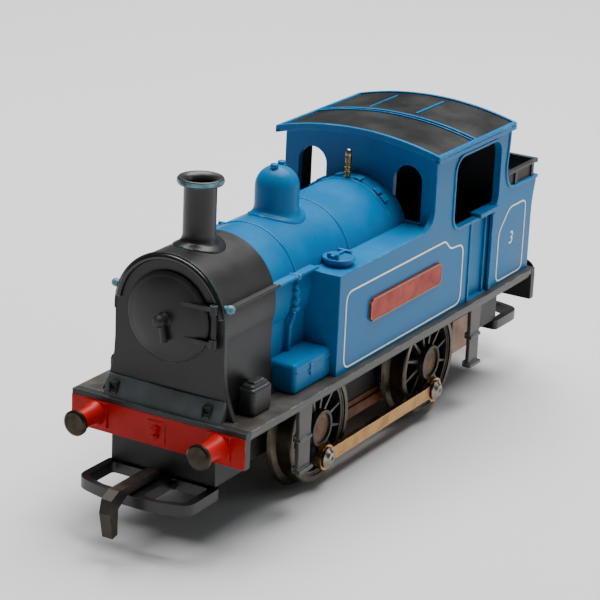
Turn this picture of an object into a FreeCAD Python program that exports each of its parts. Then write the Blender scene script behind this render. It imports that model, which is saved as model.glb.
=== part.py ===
"""A small 0-4-0 side-tank toy locomotive for 16.5 mm track, built piece by piece.

Frame: +X forward, +Y the locomotive's left side, +Z up, millimetres. The wheel flanges touch
z = 0 and the origin lies midway between the two couplings.
"""
import FreeCAD, Part
import math
import os
import re
import Sketcher

# alias, value, meaning: each cell is one size that can be set by itself
SIZES = [
    # running gear
    ("tread_radius", 8.92, "wheel tread"),
    ("flange_depth", 1.2, "flange below the tread"),
    ("flange_thick", 0.8, "flange along the axle"),
    ("wheel_back", 7.25, "wheel back face from the centre line"),
    ("wheel_face", 11.16, "tyre outer face from the centre line"),
    ("tyre_wall", 1.0, "tyre from bore to tread"),
    ("wheelbase", 36.3, "between axles"),
    ("axle_shift", 0.685, "middle of the wheelbase ahead of the origin"),
    ("axle_radius", 1.59, "axle"),
    ("hub_radius", 3.0, "raised hub ring"),
    ("hub_proud", 0.5, "hub ring beyond the tyre face"),
    ("rim_ring", 0.75, "wheel centre ring inside the tyre"),
    ("spoke_width", 0.62, "spoke across"),
    ("spoke_depth", 2.0, "spoke along the axle"),
    ("crank_radius", 4.7, "axle to crankpin"),
    ("crank_boss", 1.9, "crank boss radius"),
    ("pin_radius", 0.9, "crankpin journal"),
    ("pin_head", 1.7, "crankpin head radius"),
    ("pin_cone", 0.85, "crankpin head height"),
    ("rod_thick", 0.9, "coupling rod across"),
    ("rod_height", 2.2, "coupling rod depth"),
    ("rod_eye", 2.1, "coupling rod end radius"),
    ("running_fit", 0.05, "radial clearance of a turning fit"),
    ("side_gap", 0.3, "side clearance between moving pieces"),
    # chassis
    ("end_gap", 1.9, "chassis end behind the beam face"),
    ("bar_width", 12.0, "chassis bar across"),
    ("bar_below", 2.72, "chassis bar under the axle centres"),
    ("bar_above", 3.08, "chassis bar over the axle centres"),
    ("block_width", 18.6, "end block across"),
    ("block_length", 8.5, "end block along"),
    ("block_bottom", 9.2, "end block underside"),
    ("block_step", 0.9, "end block over the chassis bar"),
    ("riser_half", 3.4, "screw pillar half length"),
    # gears and motor
    ("gear_module", 0.5, "gear module"),
    ("gear_teeth", 24, "teeth of the worm wheel"),
    ("gear_width", 3.6, "worm wheel across"),
    ("worm_pitch_radius", 2.6, "worm pitch radius"),
    ("worm_length", 6.6, "worm along the shaft"),
    ("shaft_radius", 1.0, "motor shaft"),
    ("core_radius", 5.8, "armature core"),
    ("motor_setback", 10.635, "pole pieces behind the driven axle"),
    ("core_inset", 1.6, "core inside the pole pieces' front face"),
    ("core_length", 12.0, "armature core along the shaft"),
    ("pole_gap", 0.4, "air gap round the core"),
    ("pole_length", 15.0, "pole pieces along"),
    ("magnet_half", 5.2, "magnet half width"),
    ("magnet_lift", 0.88, "magnet over the armature core"),
    ("magnet_room", 1.55, "magnet under the tank deck"),
    ("bracket_thick", 1.5, "bearing bracket"),
    ("front_bracket_gap", 2.8, "front bearing bracket ahead of the pole pieces"),
    ("rear_bracket_gap", 7.4, "rear bearing bracket behind the pole pieces"),
    ("bracket_half", 5.4, "bearing bracket half width"),
    ("tie_half", 4.2, "bracket tie half width"),
    ("tie_thick", 1.4, "bracket tie"),
    ("limb_thick", 1.6, "pole piece limb"),
    ("arm_thick", 0.4, "brush arm"),
    ("coil_overhang", 1.6, "coil beyond the core"),
    ("bush_radius", 2.2, "bearing bush"),
    ("commutator_radius", 2.3, "commutator"),
    ("commutator_gap", 1.8, "commutator behind the pole pieces"),
    ("commutator_length", 3.4, "commutator along the shaft"),
    ("brush_radius", 1.1, "carbon brush"),
    ("brush_length", 2.2, "carbon brush"),
    ("plate_strip_half", 6.2, "pick-up plate half width"),
    ("plate_depth", 3.0, "pick-up plate"),
    ("strip_thick", 0.3, "pick-up strip"),
    ("capacitor_thick", 2.8, "suppressor capacitor across"),
    ("capacitor_length", 7.0, "suppressor capacitor along"),
    # body moulding
    ("plate_half", 48.4, "running plate half length"),
    ("plate_side", 15.54, "running plate half width"),
    ("plate_top", 19.8, "running plate top"),
    ("plate_thick", 1.6, "running plate edge"),
    ("beam_thick", 1.4, "buffer beam"),
    ("beam_bottom", 14.06, "buffer beam lower edge"),
    ("wall", 1.1, "moulding wall"),
    ("side_face", 14.34, "tank, cab and bunker side from the centre line"),
    ("tank_front", 20.4, "tank front"),
    ("tank_top", 36.25, "tank top"),
    ("cab_front", -10.0, "cab front sheet"),
    ("cab_rear", -36.6, "cab rear sheet"),
    ("roof_radius", 56.5, "roof arc"),
    ("roof_apex", 51.0, "top of the roof arc"),
    ("roof_thick", 1.2, "roof"),
    ("roof_side", 15.5, "roof half width"),
    ("roof_front", -8.4, "front edge of the roof"),
    ("roof_rear", -36.5, "rear edge of the roof"),
    ("bunker_rear", -47.4, "bunker rear"),
    ("bunker_top", 36.8, "bunker top"),
    ("bunker_floor", 30.6, "coal space floor"),
    ("opening_front", -16.9, "cab opening front edge"),
    ("opening_rear", -33.2, "cab opening rear edge"),
    ("opening_sill", 34.3, "cab opening sill"),
    ("opening_top", 46.4, "cab opening top"),
    ("opening_corner", 2.4, "cab opening corner radius"),
    ("door_rear", -31.2, "rear edge of the door recess"),
    ("door_front", -23.9, "front edge of the door recess"),
    ("door_depth", 0.8, "door recess"),
    ("window_offset", 9.0, "front window centre from the centre line"),
    ("window_radius", 2.6, "front window half width"),
    ("window_sill", 36.6, "front window sill"),
    ("window_spring", 43.4, "centre of the window arch"),
    ("boiler_radius", 9.2, "boiler"),
    ("boiler_axis", 33.9, "boiler axis height"),
    ("smokebox_radius", 9.65, "smokebox"),
    ("smokebox_rear", 31.4, "smokebox rear"),
    ("smokebox_front", 45.7, "smokebox front"),
    ("door_radius", 7.05, "smokebox door"),
    ("door_dish", 0.6, "smokebox door thickness"),
    ("saddle_side", 11.9, "smokebox saddle half width at the foot"),
    ("skirt_side", 8.2, "boiler skirt half width"),
    ("chimney_x", 38.3, "chimney"),
    ("chimney_top", 53.6, "chimney top"),
    ("chimney_radius", 2.6, "chimney stem"),
    ("chimney_rim", 3.5, "chimney rim"),
    ("chimney_bore", 2.0, "chimney bore"),
    ("chimney_foot", 4.3, "chimney foot flange"),
    ("dome_x", 16.3, "dome"),
    ("dome_radius", 3.5, "dome"),
    ("dome_top", 50.4, "dome top"),
    ("dome_foot", 4.9, "dome foot flange"),
    ("whistle_x", -6.0, "whistle"),
    ("whistle_top", 48.1, "whistle top"),
    ("whistle_stem", 0.45, "whistle stem radius"),
    ("filler_x", 15.3, "tank filler"),
    ("filler_y", 11.0, "tank filler from the centre line"),
    ("filler_radius", 2.6, "tank filler"),
    ("filler_height", 1.3, "tank filler"),
    ("rail_side", 10.1, "handrail from the centre line"),
    ("rail_height", 36.9, "handrail height"),
    ("rail_radius", 0.4, "handrail"),
    ("knob_radius", 0.55, "handrail knob"),
    ("sandbox_front", 42.4, "sandbox front"),
    ("sandbox_length", 5.4, "sandbox along"),
    ("sandbox_outer", 13.4, "sandbox outer side from the centre line"),
    ("sandbox_width", 3.2, "sandbox across"),
    ("sandbox_height", 4.2, "sandbox above the running plate"),
    ("toolbox_front", 31.0, "toolbox front"),
    ("toolbox_outer", 13.2, "toolbox outer side from the centre line"),
    ("toolbox_height", 4.8, "toolbox above the running plate"),
    ("valve_x", 25.2, "clack valve"),
    ("valve_radius", 0.75, "clack valve"),
    ("pipe_radius", 0.45, "feed pipe"),
    ("cover_half", 10.2, "cover plate half width"),
    ("step_front_x", 30.2, "middle of the front footstep"),
    ("step_rear_x", -26.6, "middle of the rear footstep"),
    ("step_length", 4.0, "footstep along"),
    ("step_thick", 0.9, "footstep hanger"),
    ("tread_thick", 0.7, "footstep tread"),
    ("tread_low", 7.7, "lower tread height"),
    ("tread_high", 12.8, "upper tread height"),
    ("coal_rail_gap", 2.2, "coal rail above the bunker"),
    ("coal_rail_thick", 0.7, "coal rail"),
    ("buffer_y", 10.93, "buffer from the centre line"),
    ("buffer_height", 16.92, "buffer centre height"),
    ("buffer_reach", 5.75, "buffer head face beyond the beam"),
    ("buffer_head", 2.0, "buffer head radius"),
    ("head_thick", 0.7, "buffer head"),
    ("buffer_pin", 0.7, "buffer head pin radius"),
    ("nameplate_front", 10.7, "nameplate front end"),
    ("nameplate_length", 23.7, "nameplate"),
    ("nameplate_bottom", 26.1, "nameplate lower edge"),
    ("nameplate_height", 3.75, "nameplate"),
    ("nameplate_thick", 0.4, "nameplate"),
    ("screw_x", 34.0, "body screws from the origin"),
    ("screw_radius", 1.2, "body screw"),
    ("screw_head", 2.1, "body screw head"),
    # couplings
    ("loop_proud", 9.7, "coupling loop ahead of the chassis"),
    ("loop_half", 10.0, "coupling loop half width"),
    ("loop_bar", 1.5, "coupling loop front bar"),
    ("loop_arm", 2.3, "coupling loop side arm"),
    ("loop_bottom", 7.2, "coupling underside"),
    ("loop_thick", 2.0, "coupling loop"),
    ("pivot_proud", 1.1, "hook pivot ahead of the chassis"),
    ("hook_proud", 5.4, "hook tip ahead of the loop"),
    ("hook_half", 0.9, "hook half thickness"),
    ("hook_pin", 0.5, "hook pin radius"),
    ("hook_deep", 1.4, "hook arm depth"),
    ("hook_drop", 5.7, "drop of the hook's tip"),
    ("eye_radius", 0.95, "hook eye radius"),
    ("pin_half", 3.0, "hook pin half length"),
    ("tongue_half", 4.0, "coupling tongue half width"),
    ("fixing_inset", 4.5, "coupling screw behind the chassis end"),
    ("fixing_head", 1.9, "coupling screw head"),
    ("fixing_depth", 3.0, "coupling screw in the block"),
]
ALIASES = {alias for alias, value, meaning in SIZES}

AXLE_Z = "(tread_radius + flange_depth)"
FRONT_AXLE = "(axle_shift + wheelbase / 2)"
REAR_AXLE = "(axle_shift - wheelbase / 2)"
GEAR_RADIUS = "(gear_module * gear_teeth / 2)"
SHAFT_Z = f"({AXLE_Z} + {GEAR_RADIUS} + worm_pitch_radius)"
CHASSIS_END = "(plate_half - end_gap)"
BAR_BOTTOM, BAR_TOP = f"({AXLE_Z} - bar_below)", f"({AXLE_Z} + bar_above)"
BLOCK_TOP = f"({BAR_TOP} + block_step)"
POLE_FRONT = f"({FRONT_AXLE} - motor_setback)"
POLE_REAR = f"({POLE_FRONT} - pole_length)"
POLE_OUTER = "(wheel_back - side_gap)"
CORE_FRONT = f"({POLE_FRONT} - core_inset)"
MAGNET_BOTTOM = f"({SHAFT_Z} + core_radius + magnet_lift)"
MAGNET_TOP = "(tank_top - wall - magnet_room)"
FRONT_BRACKET = f"({POLE_FRONT} + front_bracket_gap)"
REAR_BRACKET = f"({POLE_REAR} - rear_bracket_gap)"
COMMUTATOR_FRONT = f"({POLE_REAR} - commutator_gap)"
HOOK_PIVOT = f"({CHASSIS_END} + pivot_proud)"
LOOP_REACH = f"({CHASSIS_END} + loop_proud)"
HOOK_REACH = f"({LOOP_REACH} + hook_proud)"
ROD_INNER = "(wheel_face + hub_proud + running_fit * 2)"
UNDERSIDE = "(plate_top - plate_thick)"
EAVES = "(roof_apex - roof_radius + sqrt(roof_radius ^ 2 - roof_side ^ 2))"
AXIS = {"x": FreeCAD.Rotation(FreeCAD.Vector(0, 1, 0), 90), "z": FreeCAD.Rotation(),
        "y": FreeCAD.Rotation(FreeCAD.Vector(1, 0, 0), -90)}

doc = FreeCAD.newDocument("locomotive")
sheet = doc.addObject("Spreadsheet::Sheet", "Sizes")
for row, (alias, value, meaning) in enumerate(SIZES, start=1):
    sheet.set(f"A{row}", meaning)
    sheet.set(f"B{row}", str(value))
    sheet.setAlias(f"B{row}", alias)
doc.recompute()
nodes = []


def linked(text):
    """An expression over the sheet, written with bare aliases."""
    return re.sub(r"[A-Za-z_]\w*", lambda m: "Sizes." + m[0] if m[0] in ALIASES else m[0], str(text))


def number(text):
    """What an expression is worth now."""
    return float(sheet.evalExpression(linked(text)))


def bind(item, **texts):
    for name, text in texts.items():
        item.setExpression(name, linked(text))


def place(item, x=0, y=0, z=0, rotation=None):
    """Set an object's turn, and bind its position to the sheet."""
    if rotation is not None:
        item.Placement = FreeCAD.Placement(FreeCAD.Vector(), rotation)
    for axis, text in (("x", x), ("y", y), ("z", z)):
        item.setExpression("Placement.Base." + axis, linked(text))
    return item


def node(item, name):
    """Name a finished sub-part: its label becomes its file name."""
    item.Label = name
    nodes.append(item)
    return item


def box(x0, x1, y0, y1, z0, z1):
    """A block between two corners."""
    item = doc.addObject("Part::Box", "Block")
    bind(item, Length=f"({x1}) - ({x0})", Width=f"({y1}) - ({y0})", Height=f"({z1}) - ({z0})")
    return place(item, x0, y0, z0)


def rod(axis, radius, low, high, first, second):
    """A cylinder along an axis; first and second are its other two coordinates, in X, Y, Z order."""
    item = doc.addObject("Part::Cylinder", "Rod")
    bind(item, Radius=radius, Height=f"({high}) - ({low})")
    at = {"x": (low, first, second), "y": (first, low, second), "z": (first, second, low)}[axis]
    return place(item, *at, rotation=AXIS[axis])


def fuse(*items):
    item = doc.addObject("Part::MultiFuse", "Joined")
    item.Shapes = list(items)
    item.Refine = True
    return item


def cut(base, *tools):
    item = doc.addObject("Part::Cut", "Cut")
    item.Base = base
    item.Tool = tools[0] if len(tools) == 1 else fuse(*tools)
    item.Refine = True
    return item


def common(*items):
    item = doc.addObject("Part::MultiCommon", "Shared")
    item.Shapes = list(items)
    return item


def mirrored(item, normal=(0, 1, 0)):
    """A copy on the other side of the centre line."""
    copy = doc.addObject("Part::Mirroring", "Mirrored")
    copy.Source = item
    copy.Normal = FreeCAD.Vector(*normal)
    return copy


def both_sides(item):
    return fuse(item, mirrored(item))


def sketch_on(body, plane, offset=0):
    """A sketch on one of the body's own origin planes."""
    sketch = body.newObject("Sketcher::SketchObject", "Sketch")
    role = [part for part in body.Origin.OriginFeatures if part.Role == plane + "_Plane"]
    sketch.AttachmentSupport = [(role[0], "")]
    sketch.MapMode = "FlatFace"
    sketch.setExpression("AttachmentOffset.Base.z", linked(offset))
    return sketch


def outline(sketch, points):
    """A closed polygon whose corners are bound to the sheet."""
    corners = [FreeCAD.Vector(number(u), number(v), 0) for u, v in points]
    count = len(points)
    for index in range(count):
        sketch.addGeometry(Part.LineSegment(corners[index], corners[(index + 1) % count]))
    for index in range(count):
        sketch.addConstraint(Sketcher.Constraint("Coincident", index, 2, (index + 1) % count, 1))
    for index, texts in enumerate(points):
        for kind, text in zip(("DistanceX", "DistanceY"), texts):
            made = Sketcher.Constraint(kind, -1, 1, index, 1, number(text))
            sketch.setExpression(f"Constraints[{sketch.addConstraint(made)}]", linked(text))


def circle(sketch, u, v, radius):
    """A full circle whose centre and radius are bound to the sheet."""
    centre = FreeCAD.Vector(number(u), number(v), 0)
    index = sketch.addGeometry(Part.Circle(centre, FreeCAD.Vector(0, 0, 1), number(radius)))
    for made, text in ((Sketcher.Constraint("DistanceX", -1, 1, index, 3, centre.x), u),
                       (Sketcher.Constraint("DistanceY", -1, 1, index, 3, centre.y), v),
                       (Sketcher.Constraint("Radius", index, number(radius)), radius)):
        sketch.setExpression(f"Constraints[{sketch.addConstraint(made)}]", linked(text))


def prism(plane, points, low, high, holes=()):
    """A polygon padded from low to high along the plane's axis, with round holes (u, v, radius)."""
    body = doc.addObject("PartDesign::Body", "Body")
    flipped = plane == "XZ"                      # this plane's normal points along -Y
    sketch = sketch_on(body, plane, f"-({high})" if flipped else low)
    outline(sketch, points)
    for hole in holes:
        circle(sketch, *hole)
    pad = body.newObject("PartDesign::Pad", "Pad")
    pad.Profile = sketch
    bind(pad, Length=f"({high}) - ({low})")
    return body


def lathe(points, x=0, y=0, z=0, rotation=AXIS["z"]):
    """A turned body: points are (radius, height) along its own axis."""
    body = doc.addObject("PartDesign::Body", "Body")
    sketch = sketch_on(body, "XZ")
    outline(sketch, points)
    turned = body.newObject("PartDesign::Revolution", "Revolution")
    turned.Profile = sketch
    turned.ReferenceAxis = (sketch, ["V_Axis"])
    turned.Angle = 360
    return place(body, x, y, z, rotation)


# ---- wheels, axles and rods: the left cranks point down, the right ones lead by a quarter turn ----

WHEEL_TURN = {
    "left": FreeCAD.Rotation(FreeCAD.Vector(0, 0, -1), FreeCAD.Vector(-1, 0, 0),
                             FreeCAD.Vector(0, 1, 0), "ZXY"),
    "right": FreeCAD.Rotation(FreeCAD.Vector(1, 0, 0), FreeCAD.Vector(0, 0, 1),
                              FreeCAD.Vector(0, -1, 0), "ZXY"),
}
AXLES = {"front": FRONT_AXLE, "rear": REAR_AXLE}
SPOKES = 12


def tyre(end, side):
    """Flanged metal tyre, pressed on the wheel centre; its own axis is the axle."""
    bore = "tread_radius - tyre_wall"
    profile = [(bore, "wheel_back"), (f"{AXLE_Z} - 0.3", "wheel_back"), (AXLE_Z, "wheel_back + 0.3"),
               (f"{AXLE_Z} - 0.3", "wheel_back + flange_thick"),
               ("tread_radius", "wheel_back + flange_thick + 0.4"), ("tread_radius", "wheel_face - 0.2"),
               ("tread_radius - 0.2", "wheel_face"), (bore, "wheel_face")]
    return node(lathe(profile, AXLES[end], 0, AXLE_Z, WHEEL_TURN[side]), f"tyre_{end}_{side}")


def wheel_centre(end, side):
    """Moulded spoked centre with a raised hub ring and a solid crank web."""
    outer, inner = "tread_radius - tyre_wall", "tread_radius - tyre_wall - rim_ring"
    spoke_top = "wheel_face - 0.6"
    ring = cut(rod("z", outer, "wheel_back + 0.2", "wheel_face - 0.3", 0, 0),
               rod("z", inner, "wheel_back", "wheel_face", 0, 0))
    spokes = []
    for index in range(SPOKES):
        spoke = box(0, f"{outer} - rim_ring / 2", "-spoke_width / 2", "spoke_width / 2",
                    f"{spoke_top} - spoke_depth", spoke_top)
        angle = (index + 0.5) * 360 / SPOKES
        turn = FreeCAD.Rotation(FreeCAD.Vector(0, 0, 1), angle)
        reach = f"-spoke_width / 2 * {math.cos(math.radians(angle)):.6f}"
        offset = f"spoke_width / 2 * {math.sin(math.radians(angle)):.6f}"
        spokes.append(place(spoke, offset, reach, f"{spoke_top} - spoke_depth", turn))
    face = "wheel_face + hub_proud"
    hub = rod("z", "hub_radius", "wheel_back + 0.2", face, 0, 0)
    boss = rod("z", "crank_boss", f"{spoke_top} - spoke_depth", face, "crank_radius", 0)
    web = box(0, "crank_radius", "-crank_boss * 0.95", "crank_boss * 0.95",
              f"{spoke_top} - spoke_depth", "wheel_face")
    recess = rod("z", "hub_radius - 0.55", "wheel_face + 0.05", "wheel_face + 1", 0, 0)
    bore = rod("z", "axle_radius", "wheel_back", "wheel_face + 1", 0, 0)
    tapping = rod("z", "pin_radius * 0.8", "wheel_face - 1.5", "wheel_face + 1", "crank_radius", 0)
    centre = cut(fuse(ring, hub, boss, web, *spokes), bore, recess, tapping)
    place(centre, AXLES[end], 0, AXLE_Z, WHEEL_TURN[side])
    return node(centre, f"wheel_centre_{end}_{side}")


def crankpin(end, side):
    """Bright shouldered screw: thread in the boss, journal for the rod, stepped conical head."""
    seat = "(wheel_face + hub_proud)"
    head = f"({ROD_INNER} + rod_thick + running_fit * 2)"
    profile = [(0, "wheel_face - 1.4"), ("pin_radius * 0.8", "wheel_face - 1.4"),
               ("pin_radius * 0.8", seat), ("pin_radius", seat), ("pin_radius", head),
               ("pin_head", head), ("pin_head", f"{head} + 0.25"),
               ("pin_head * 0.62", f"{head} + pin_cone"), (0, f"{head} + pin_cone")]
    item = lathe(profile)
    crank = WHEEL_TURN[side].multVec(FreeCAD.Vector(1, 0, 0))
    place(item, f"{AXLES[end]} + crank_radius * {crank.x:.0f}", 0,
          f"{AXLE_Z} + crank_radius * {crank.z:.0f}", WHEEL_TURN[side])
    return node(item, f"crankpin_{end}_{side}")


def axle(end):
    """Ground steel axle, flush in the hub recess."""
    return node(rod("y", "axle_radius", "-wheel_face", "wheel_face", AXLES[end], AXLE_Z), f"axle_{end}")


def coupling_rod(side):
    """Flat plated rod joining the two crankpins of one side."""
    crank = WHEEL_TURN[side].multVec(FreeCAD.Vector(1, 0, 0))
    height = f"({AXLE_Z} + crank_radius * {crank.z:.0f})"
    shift = f"crank_radius * {crank.x:.0f}"
    low, high = ROD_INNER, f"{ROD_INNER} + rod_thick"
    if side == "right":
        low, high = f"-({high})", f"-({low})"
    rear, front = f"({REAR_AXLE} + {shift})", f"({FRONT_AXLE} + {shift})"
    bar = box(rear, front, low, high, f"{height} - rod_height / 2", f"{height} + rod_height / 2")
    eyes = [rod("y", "rod_eye", low, high, at, height) for at in (rear, front)]
    bores = [rod("y", "pin_radius + running_fit", f"{low} - 1", f"{high} + 1", at, height)
             for at in (rear, front)]
    return node(cut(fuse(bar, *eyes), *bores), f"coupling_rod_{side}")


# ---- gears and motor ----

def worm_wheel():
    """Straight-toothed moulded wheel on the front axle; one tooth space lies under the worm."""
    root, tip = f"({GEAR_RADIUS} - gear_module * 1.25)", f"({GEAR_RADIUS} + gear_module)"
    body = doc.addObject("PartDesign::Body", "Body")
    disc = sketch_on(body, "XZ", "-gear_width / 2")
    circle(disc, 0, 0, root)
    circle(disc, 0, 0, "axle_radius")
    pad = body.newObject("PartDesign::Pad", "Disc")
    pad.Profile = disc
    bind(pad, Length="gear_width")
    tooth = sketch_on(body, "XZ", "-gear_width / 2")
    foot, crest = "gear_module * 0.66", "gear_module * 0.22"
    outline(tooth, [(f"-({foot})", f"{root} - 0.2"), (foot, f"{root} - 0.2"), (crest, tip),
                    (f"-({crest})", tip)])
    first = body.newObject("PartDesign::Pad", "Tooth")
    first.Profile = tooth
    bind(first, Length="gear_width")
    doc.recompute()
    ring = body.newObject("PartDesign::PolarPattern", "Teeth")
    ring.Originals = [first]
    ring.Axis = (disc, ["N_Axis"])
    ring.Angle = 360
    ring.Occurrences = int(number("gear_teeth"))
    body.Tip = ring
    place(body, FRONT_AXLE, 0, AXLE_Z)
    return node(body, "worm_wheel")


def worm():
    """Single-start brass worm on the motor shaft, above the worm wheel."""
    body = doc.addObject("PartDesign::Body", "Body")
    blank = sketch_on(body, "XY")
    circle(blank, 0, 0, "worm_pitch_radius + gear_module")
    circle(blank, 0, 0, "shaft_radius")
    pad = body.newObject("PartDesign::Pad", "Blank")
    pad.Profile = blank
    bind(pad, Length="worm_length")
    lead = "(gear_module * pi)"
    groove = sketch_on(body, "XZ")
    deep, wide = "(worm_pitch_radius - gear_module * 1.3)", "(worm_pitch_radius + gear_module * 1.3)"
    outline(groove, [(deep, f"-{lead} - gear_module * 0.62"), (wide, f"-{lead} - gear_module * 1.3"),
                     (wide, f"-{lead} + gear_module * 1.3"), (deep, f"-{lead} + gear_module * 0.62")])
    thread = body.newObject("PartDesign::SubtractiveHelix", "Thread")
    thread.Profile = groove
    thread.ReferenceAxis = (groove, ["V_Axis"])
    thread.Mode = 0
    bind(thread, Pitch=lead, Height=f"worm_length + 2 * {lead}")
    place(body, f"{FRONT_AXLE} - 2 * {lead}", 0, SHAFT_Z, AXIS["x"])
    return node(body, "worm")


def armature():
    """Shaft, slotted iron core, three coils and commutator, all turning together."""
    core_rear = f"({CORE_FRONT} - core_length)"
    shaft_rear = f"({REAR_BRACKET} - bracket_thick - 1)"
    shaft_front = f"({FRONT_AXLE} + worm_length / 2 + 0.6)"
    node(rod("x", "shaft_radius", shaft_rear, shaft_front, 0, SHAFT_Z), "motor_shaft")
    core = rod("x", "core_radius", core_rear, CORE_FRONT, 0, SHAFT_Z)
    slots, coils = [rod("x", "shaft_radius", core_rear, CORE_FRONT, 0, SHAFT_Z)], []
    for index in range(3):
        turn = FreeCAD.Rotation(FreeCAD.Vector(1, 0, 0), 120 * index)
        for low, high, inner, outer, width, made in (
                ("0", "core_length", "core_radius * 0.4", "core_radius + 1", "core_radius * 0.36", slots),
                ("-coil_overhang", "core_length + coil_overhang", "core_radius * 0.4", "core_radius * 0.9",
                 "core_radius * 0.36", coils)):
            item = doc.addObject("Part::Box", "Slot")
            bind(item, Length=f"({high}) - ({low})", Width=width, Height=f"{outer} - ({inner})")
            lift = turn.multVec(FreeCAD.Vector(0, 0, 1))
            side = turn.multVec(FreeCAD.Vector(0, 1, 0))
            place(item, f"{core_rear} + {low}",
                  f"({inner}) * {lift.y:.6f} - ({width}) / 2 * {side.y:.6f}",
                  f"{SHAFT_Z} + ({inner}) * {lift.z:.6f} - ({width}) / 2 * {side.z:.6f}", turn)
            made.append(item)
    node(cut(core, *slots), "armature_core")
    node(fuse(*coils), "armature_windings")
    ring = rod("x", "commutator_radius", f"{COMMUTATOR_FRONT} - commutator_length", COMMUTATOR_FRONT,
               0, SHAFT_Z)
    hole = rod("x", "shaft_radius", f"{COMMUTATOR_FRONT} - commutator_length", COMMUTATOR_FRONT,
               0, SHAFT_Z)
    node(cut(ring, hole), "commutator")


def pole_piece(side):
    """Soft iron plate: curved foot round the armature, upright limb against the magnet."""
    rear = POLE_REAR
    foot = box(rear, POLE_FRONT, "core_radius * 0.6", POLE_OUTER, BAR_TOP,
               MAGNET_BOTTOM)
    limb = box(rear, POLE_FRONT, "magnet_half", "magnet_half + limb_thick", f"{MAGNET_BOTTOM} - 1",
               MAGNET_TOP)
    bore = rod("x", "core_radius + pole_gap", f"{rear} - 1", f"{POLE_FRONT} + 1", 0, SHAFT_Z)
    piece = cut(fuse(foot, limb), bore)
    node(mirrored(piece) if side == "right" else piece, f"pole_piece_{side}")


def motor_frame():
    """Magnet between the poles, and two bearing brackets that stand on the chassis."""
    node(box(POLE_REAR, POLE_FRONT, "-magnet_half", "magnet_half",
             MAGNET_BOTTOM, MAGNET_TOP), "magnet")
    spans = {"front": (FRONT_BRACKET, f"{FRONT_BRACKET} + bracket_thick"),
             "rear": (f"{REAR_BRACKET} - bracket_thick", REAR_BRACKET)}
    for end, (low, high) in spans.items():
        upright = box(low, high, "-bracket_half", "bracket_half", BAR_TOP, f"{SHAFT_Z} + 6")
        seat = rod("x", "bush_radius", f"{low} - 1", f"{high} + 1", 0, SHAFT_Z)
        tie_low, tie_high = (high, POLE_REAR) if end == "rear" else (POLE_FRONT, low)
        tie = box(tie_low, tie_high, "-tie_half", "tie_half", MAGNET_BOTTOM,
                  f"{MAGNET_BOTTOM} + tie_thick")
        lift = box(low, high, "-bracket_half", "bracket_half", f"{SHAFT_Z} + 5",
                   f"{MAGNET_BOTTOM} + tie_thick")
        node(cut(fuse(upright, lift, tie), seat), f"motor_bracket_{end}")
        bush = rod("x", "bush_radius", low, high, 0, SHAFT_Z)
        bore = rod("x", "shaft_radius + running_fit", f"{low} - 1", f"{high} + 1", 0, SHAFT_Z)
        node(cut(bush, bore), f"motor_bearing_{end}")


def brush_gear(side):
    """Carbon brush on a springy brass arm that is held at the top of the rear bracket."""
    middle = f"({COMMUTATOR_FRONT} - commutator_length / 2)"
    inner = "(commutator_radius + running_fit)"
    carbon = rod("y", "brush_radius", inner, f"{inner} + brush_length", middle, SHAFT_Z)
    face = f"({inner} + brush_length)"
    rear, front = f"({middle} - brush_radius)", f"({middle} + brush_radius)"
    back = f"({face} + arm_thick)"
    arm = box(rear, front, face, back, f"{SHAFT_Z} - brush_radius - 0.5", MAGNET_TOP)
    hook = box(rear, front, 1, back, MAGNET_TOP, f"{MAGNET_TOP} + arm_thick")
    tail = box(REAR_BRACKET, rear, face, back, f"{MAGNET_BOTTOM} - 2", f"{MAGNET_BOTTOM} + 1")
    spring = fuse(arm, hook, tail)
    if side == "right":
        carbon, spring = mirrored(carbon), mirrored(spring)
    node(carbon, f"carbon_brush_{side}")
    node(spring, f"brush_arm_{side}")


# ---- chassis ----

def chassis_block():
    """Die-cast bar with two wide end blocks, axle bores, gear slot and armature trough."""
    bar_end = f"{CHASSIS_END} - block_length"
    bar = box(f"-({bar_end})", bar_end, "-bar_width / 2", "bar_width / 2", BAR_BOTTOM, BAR_TOP)
    ends = [box(low, high, "-block_width / 2", "block_width / 2", "block_bottom", BLOCK_TOP)
            for low, high in ((bar_end, CHASSIS_END), (f"-{CHASSIS_END}", f"-({bar_end})"))]
    risers = [box(f"{x} - riser_half", f"{x} + riser_half", "-bar_width / 2", "bar_width / 2",
                  BAR_BOTTOM, BLOCK_TOP) for x in ("screw_x", "-screw_x")]
    bores = [rod("y", "axle_radius + running_fit", "-bar_width", "bar_width", x, AXLE_Z)
             for x in (FRONT_AXLE, REAR_AXLE)]
    tip = f"({GEAR_RADIUS} + gear_module + side_gap * 2)"
    slot = box(f"{FRONT_AXLE} - {tip}", f"{FRONT_AXLE} + {tip}", "-gear_width / 2 - side_gap",
               "gear_width / 2 + side_gap", f"{BAR_BOTTOM} - 1", f"{BAR_TOP} + 1")
    trough = rod("x", "core_radius + pole_gap", f"{CORE_FRONT} - core_length - 2", f"{CORE_FRONT} + 2", 0,
                 SHAFT_Z)
    screws = [rod("z", "screw_radius + running_fit", f"{BAR_BOTTOM} - 1", f"{BLOCK_TOP} + 1", x, 0)
              for x in ("screw_x", "-screw_x")]
    sinks = [rod("z", "screw_head + running_fit", f"{BAR_BOTTOM} - 1", f"{BAR_BOTTOM} + 1.2", x, 0)
             for x in ("screw_x", "-screw_x")]
    pilots = [rod("z", "screw_radius * 0.8", "block_bottom - 1", "block_bottom + fixing_depth + 0.2",
                  x, 0) for x in (f"{CHASSIS_END} - fixing_inset", f"-({CHASSIS_END} - fixing_inset)")]
    node(cut(fuse(bar, *ends, *risers), *bores, slot, trough, *screws, *sinks, *pilots),
         "chassis_block")


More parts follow.
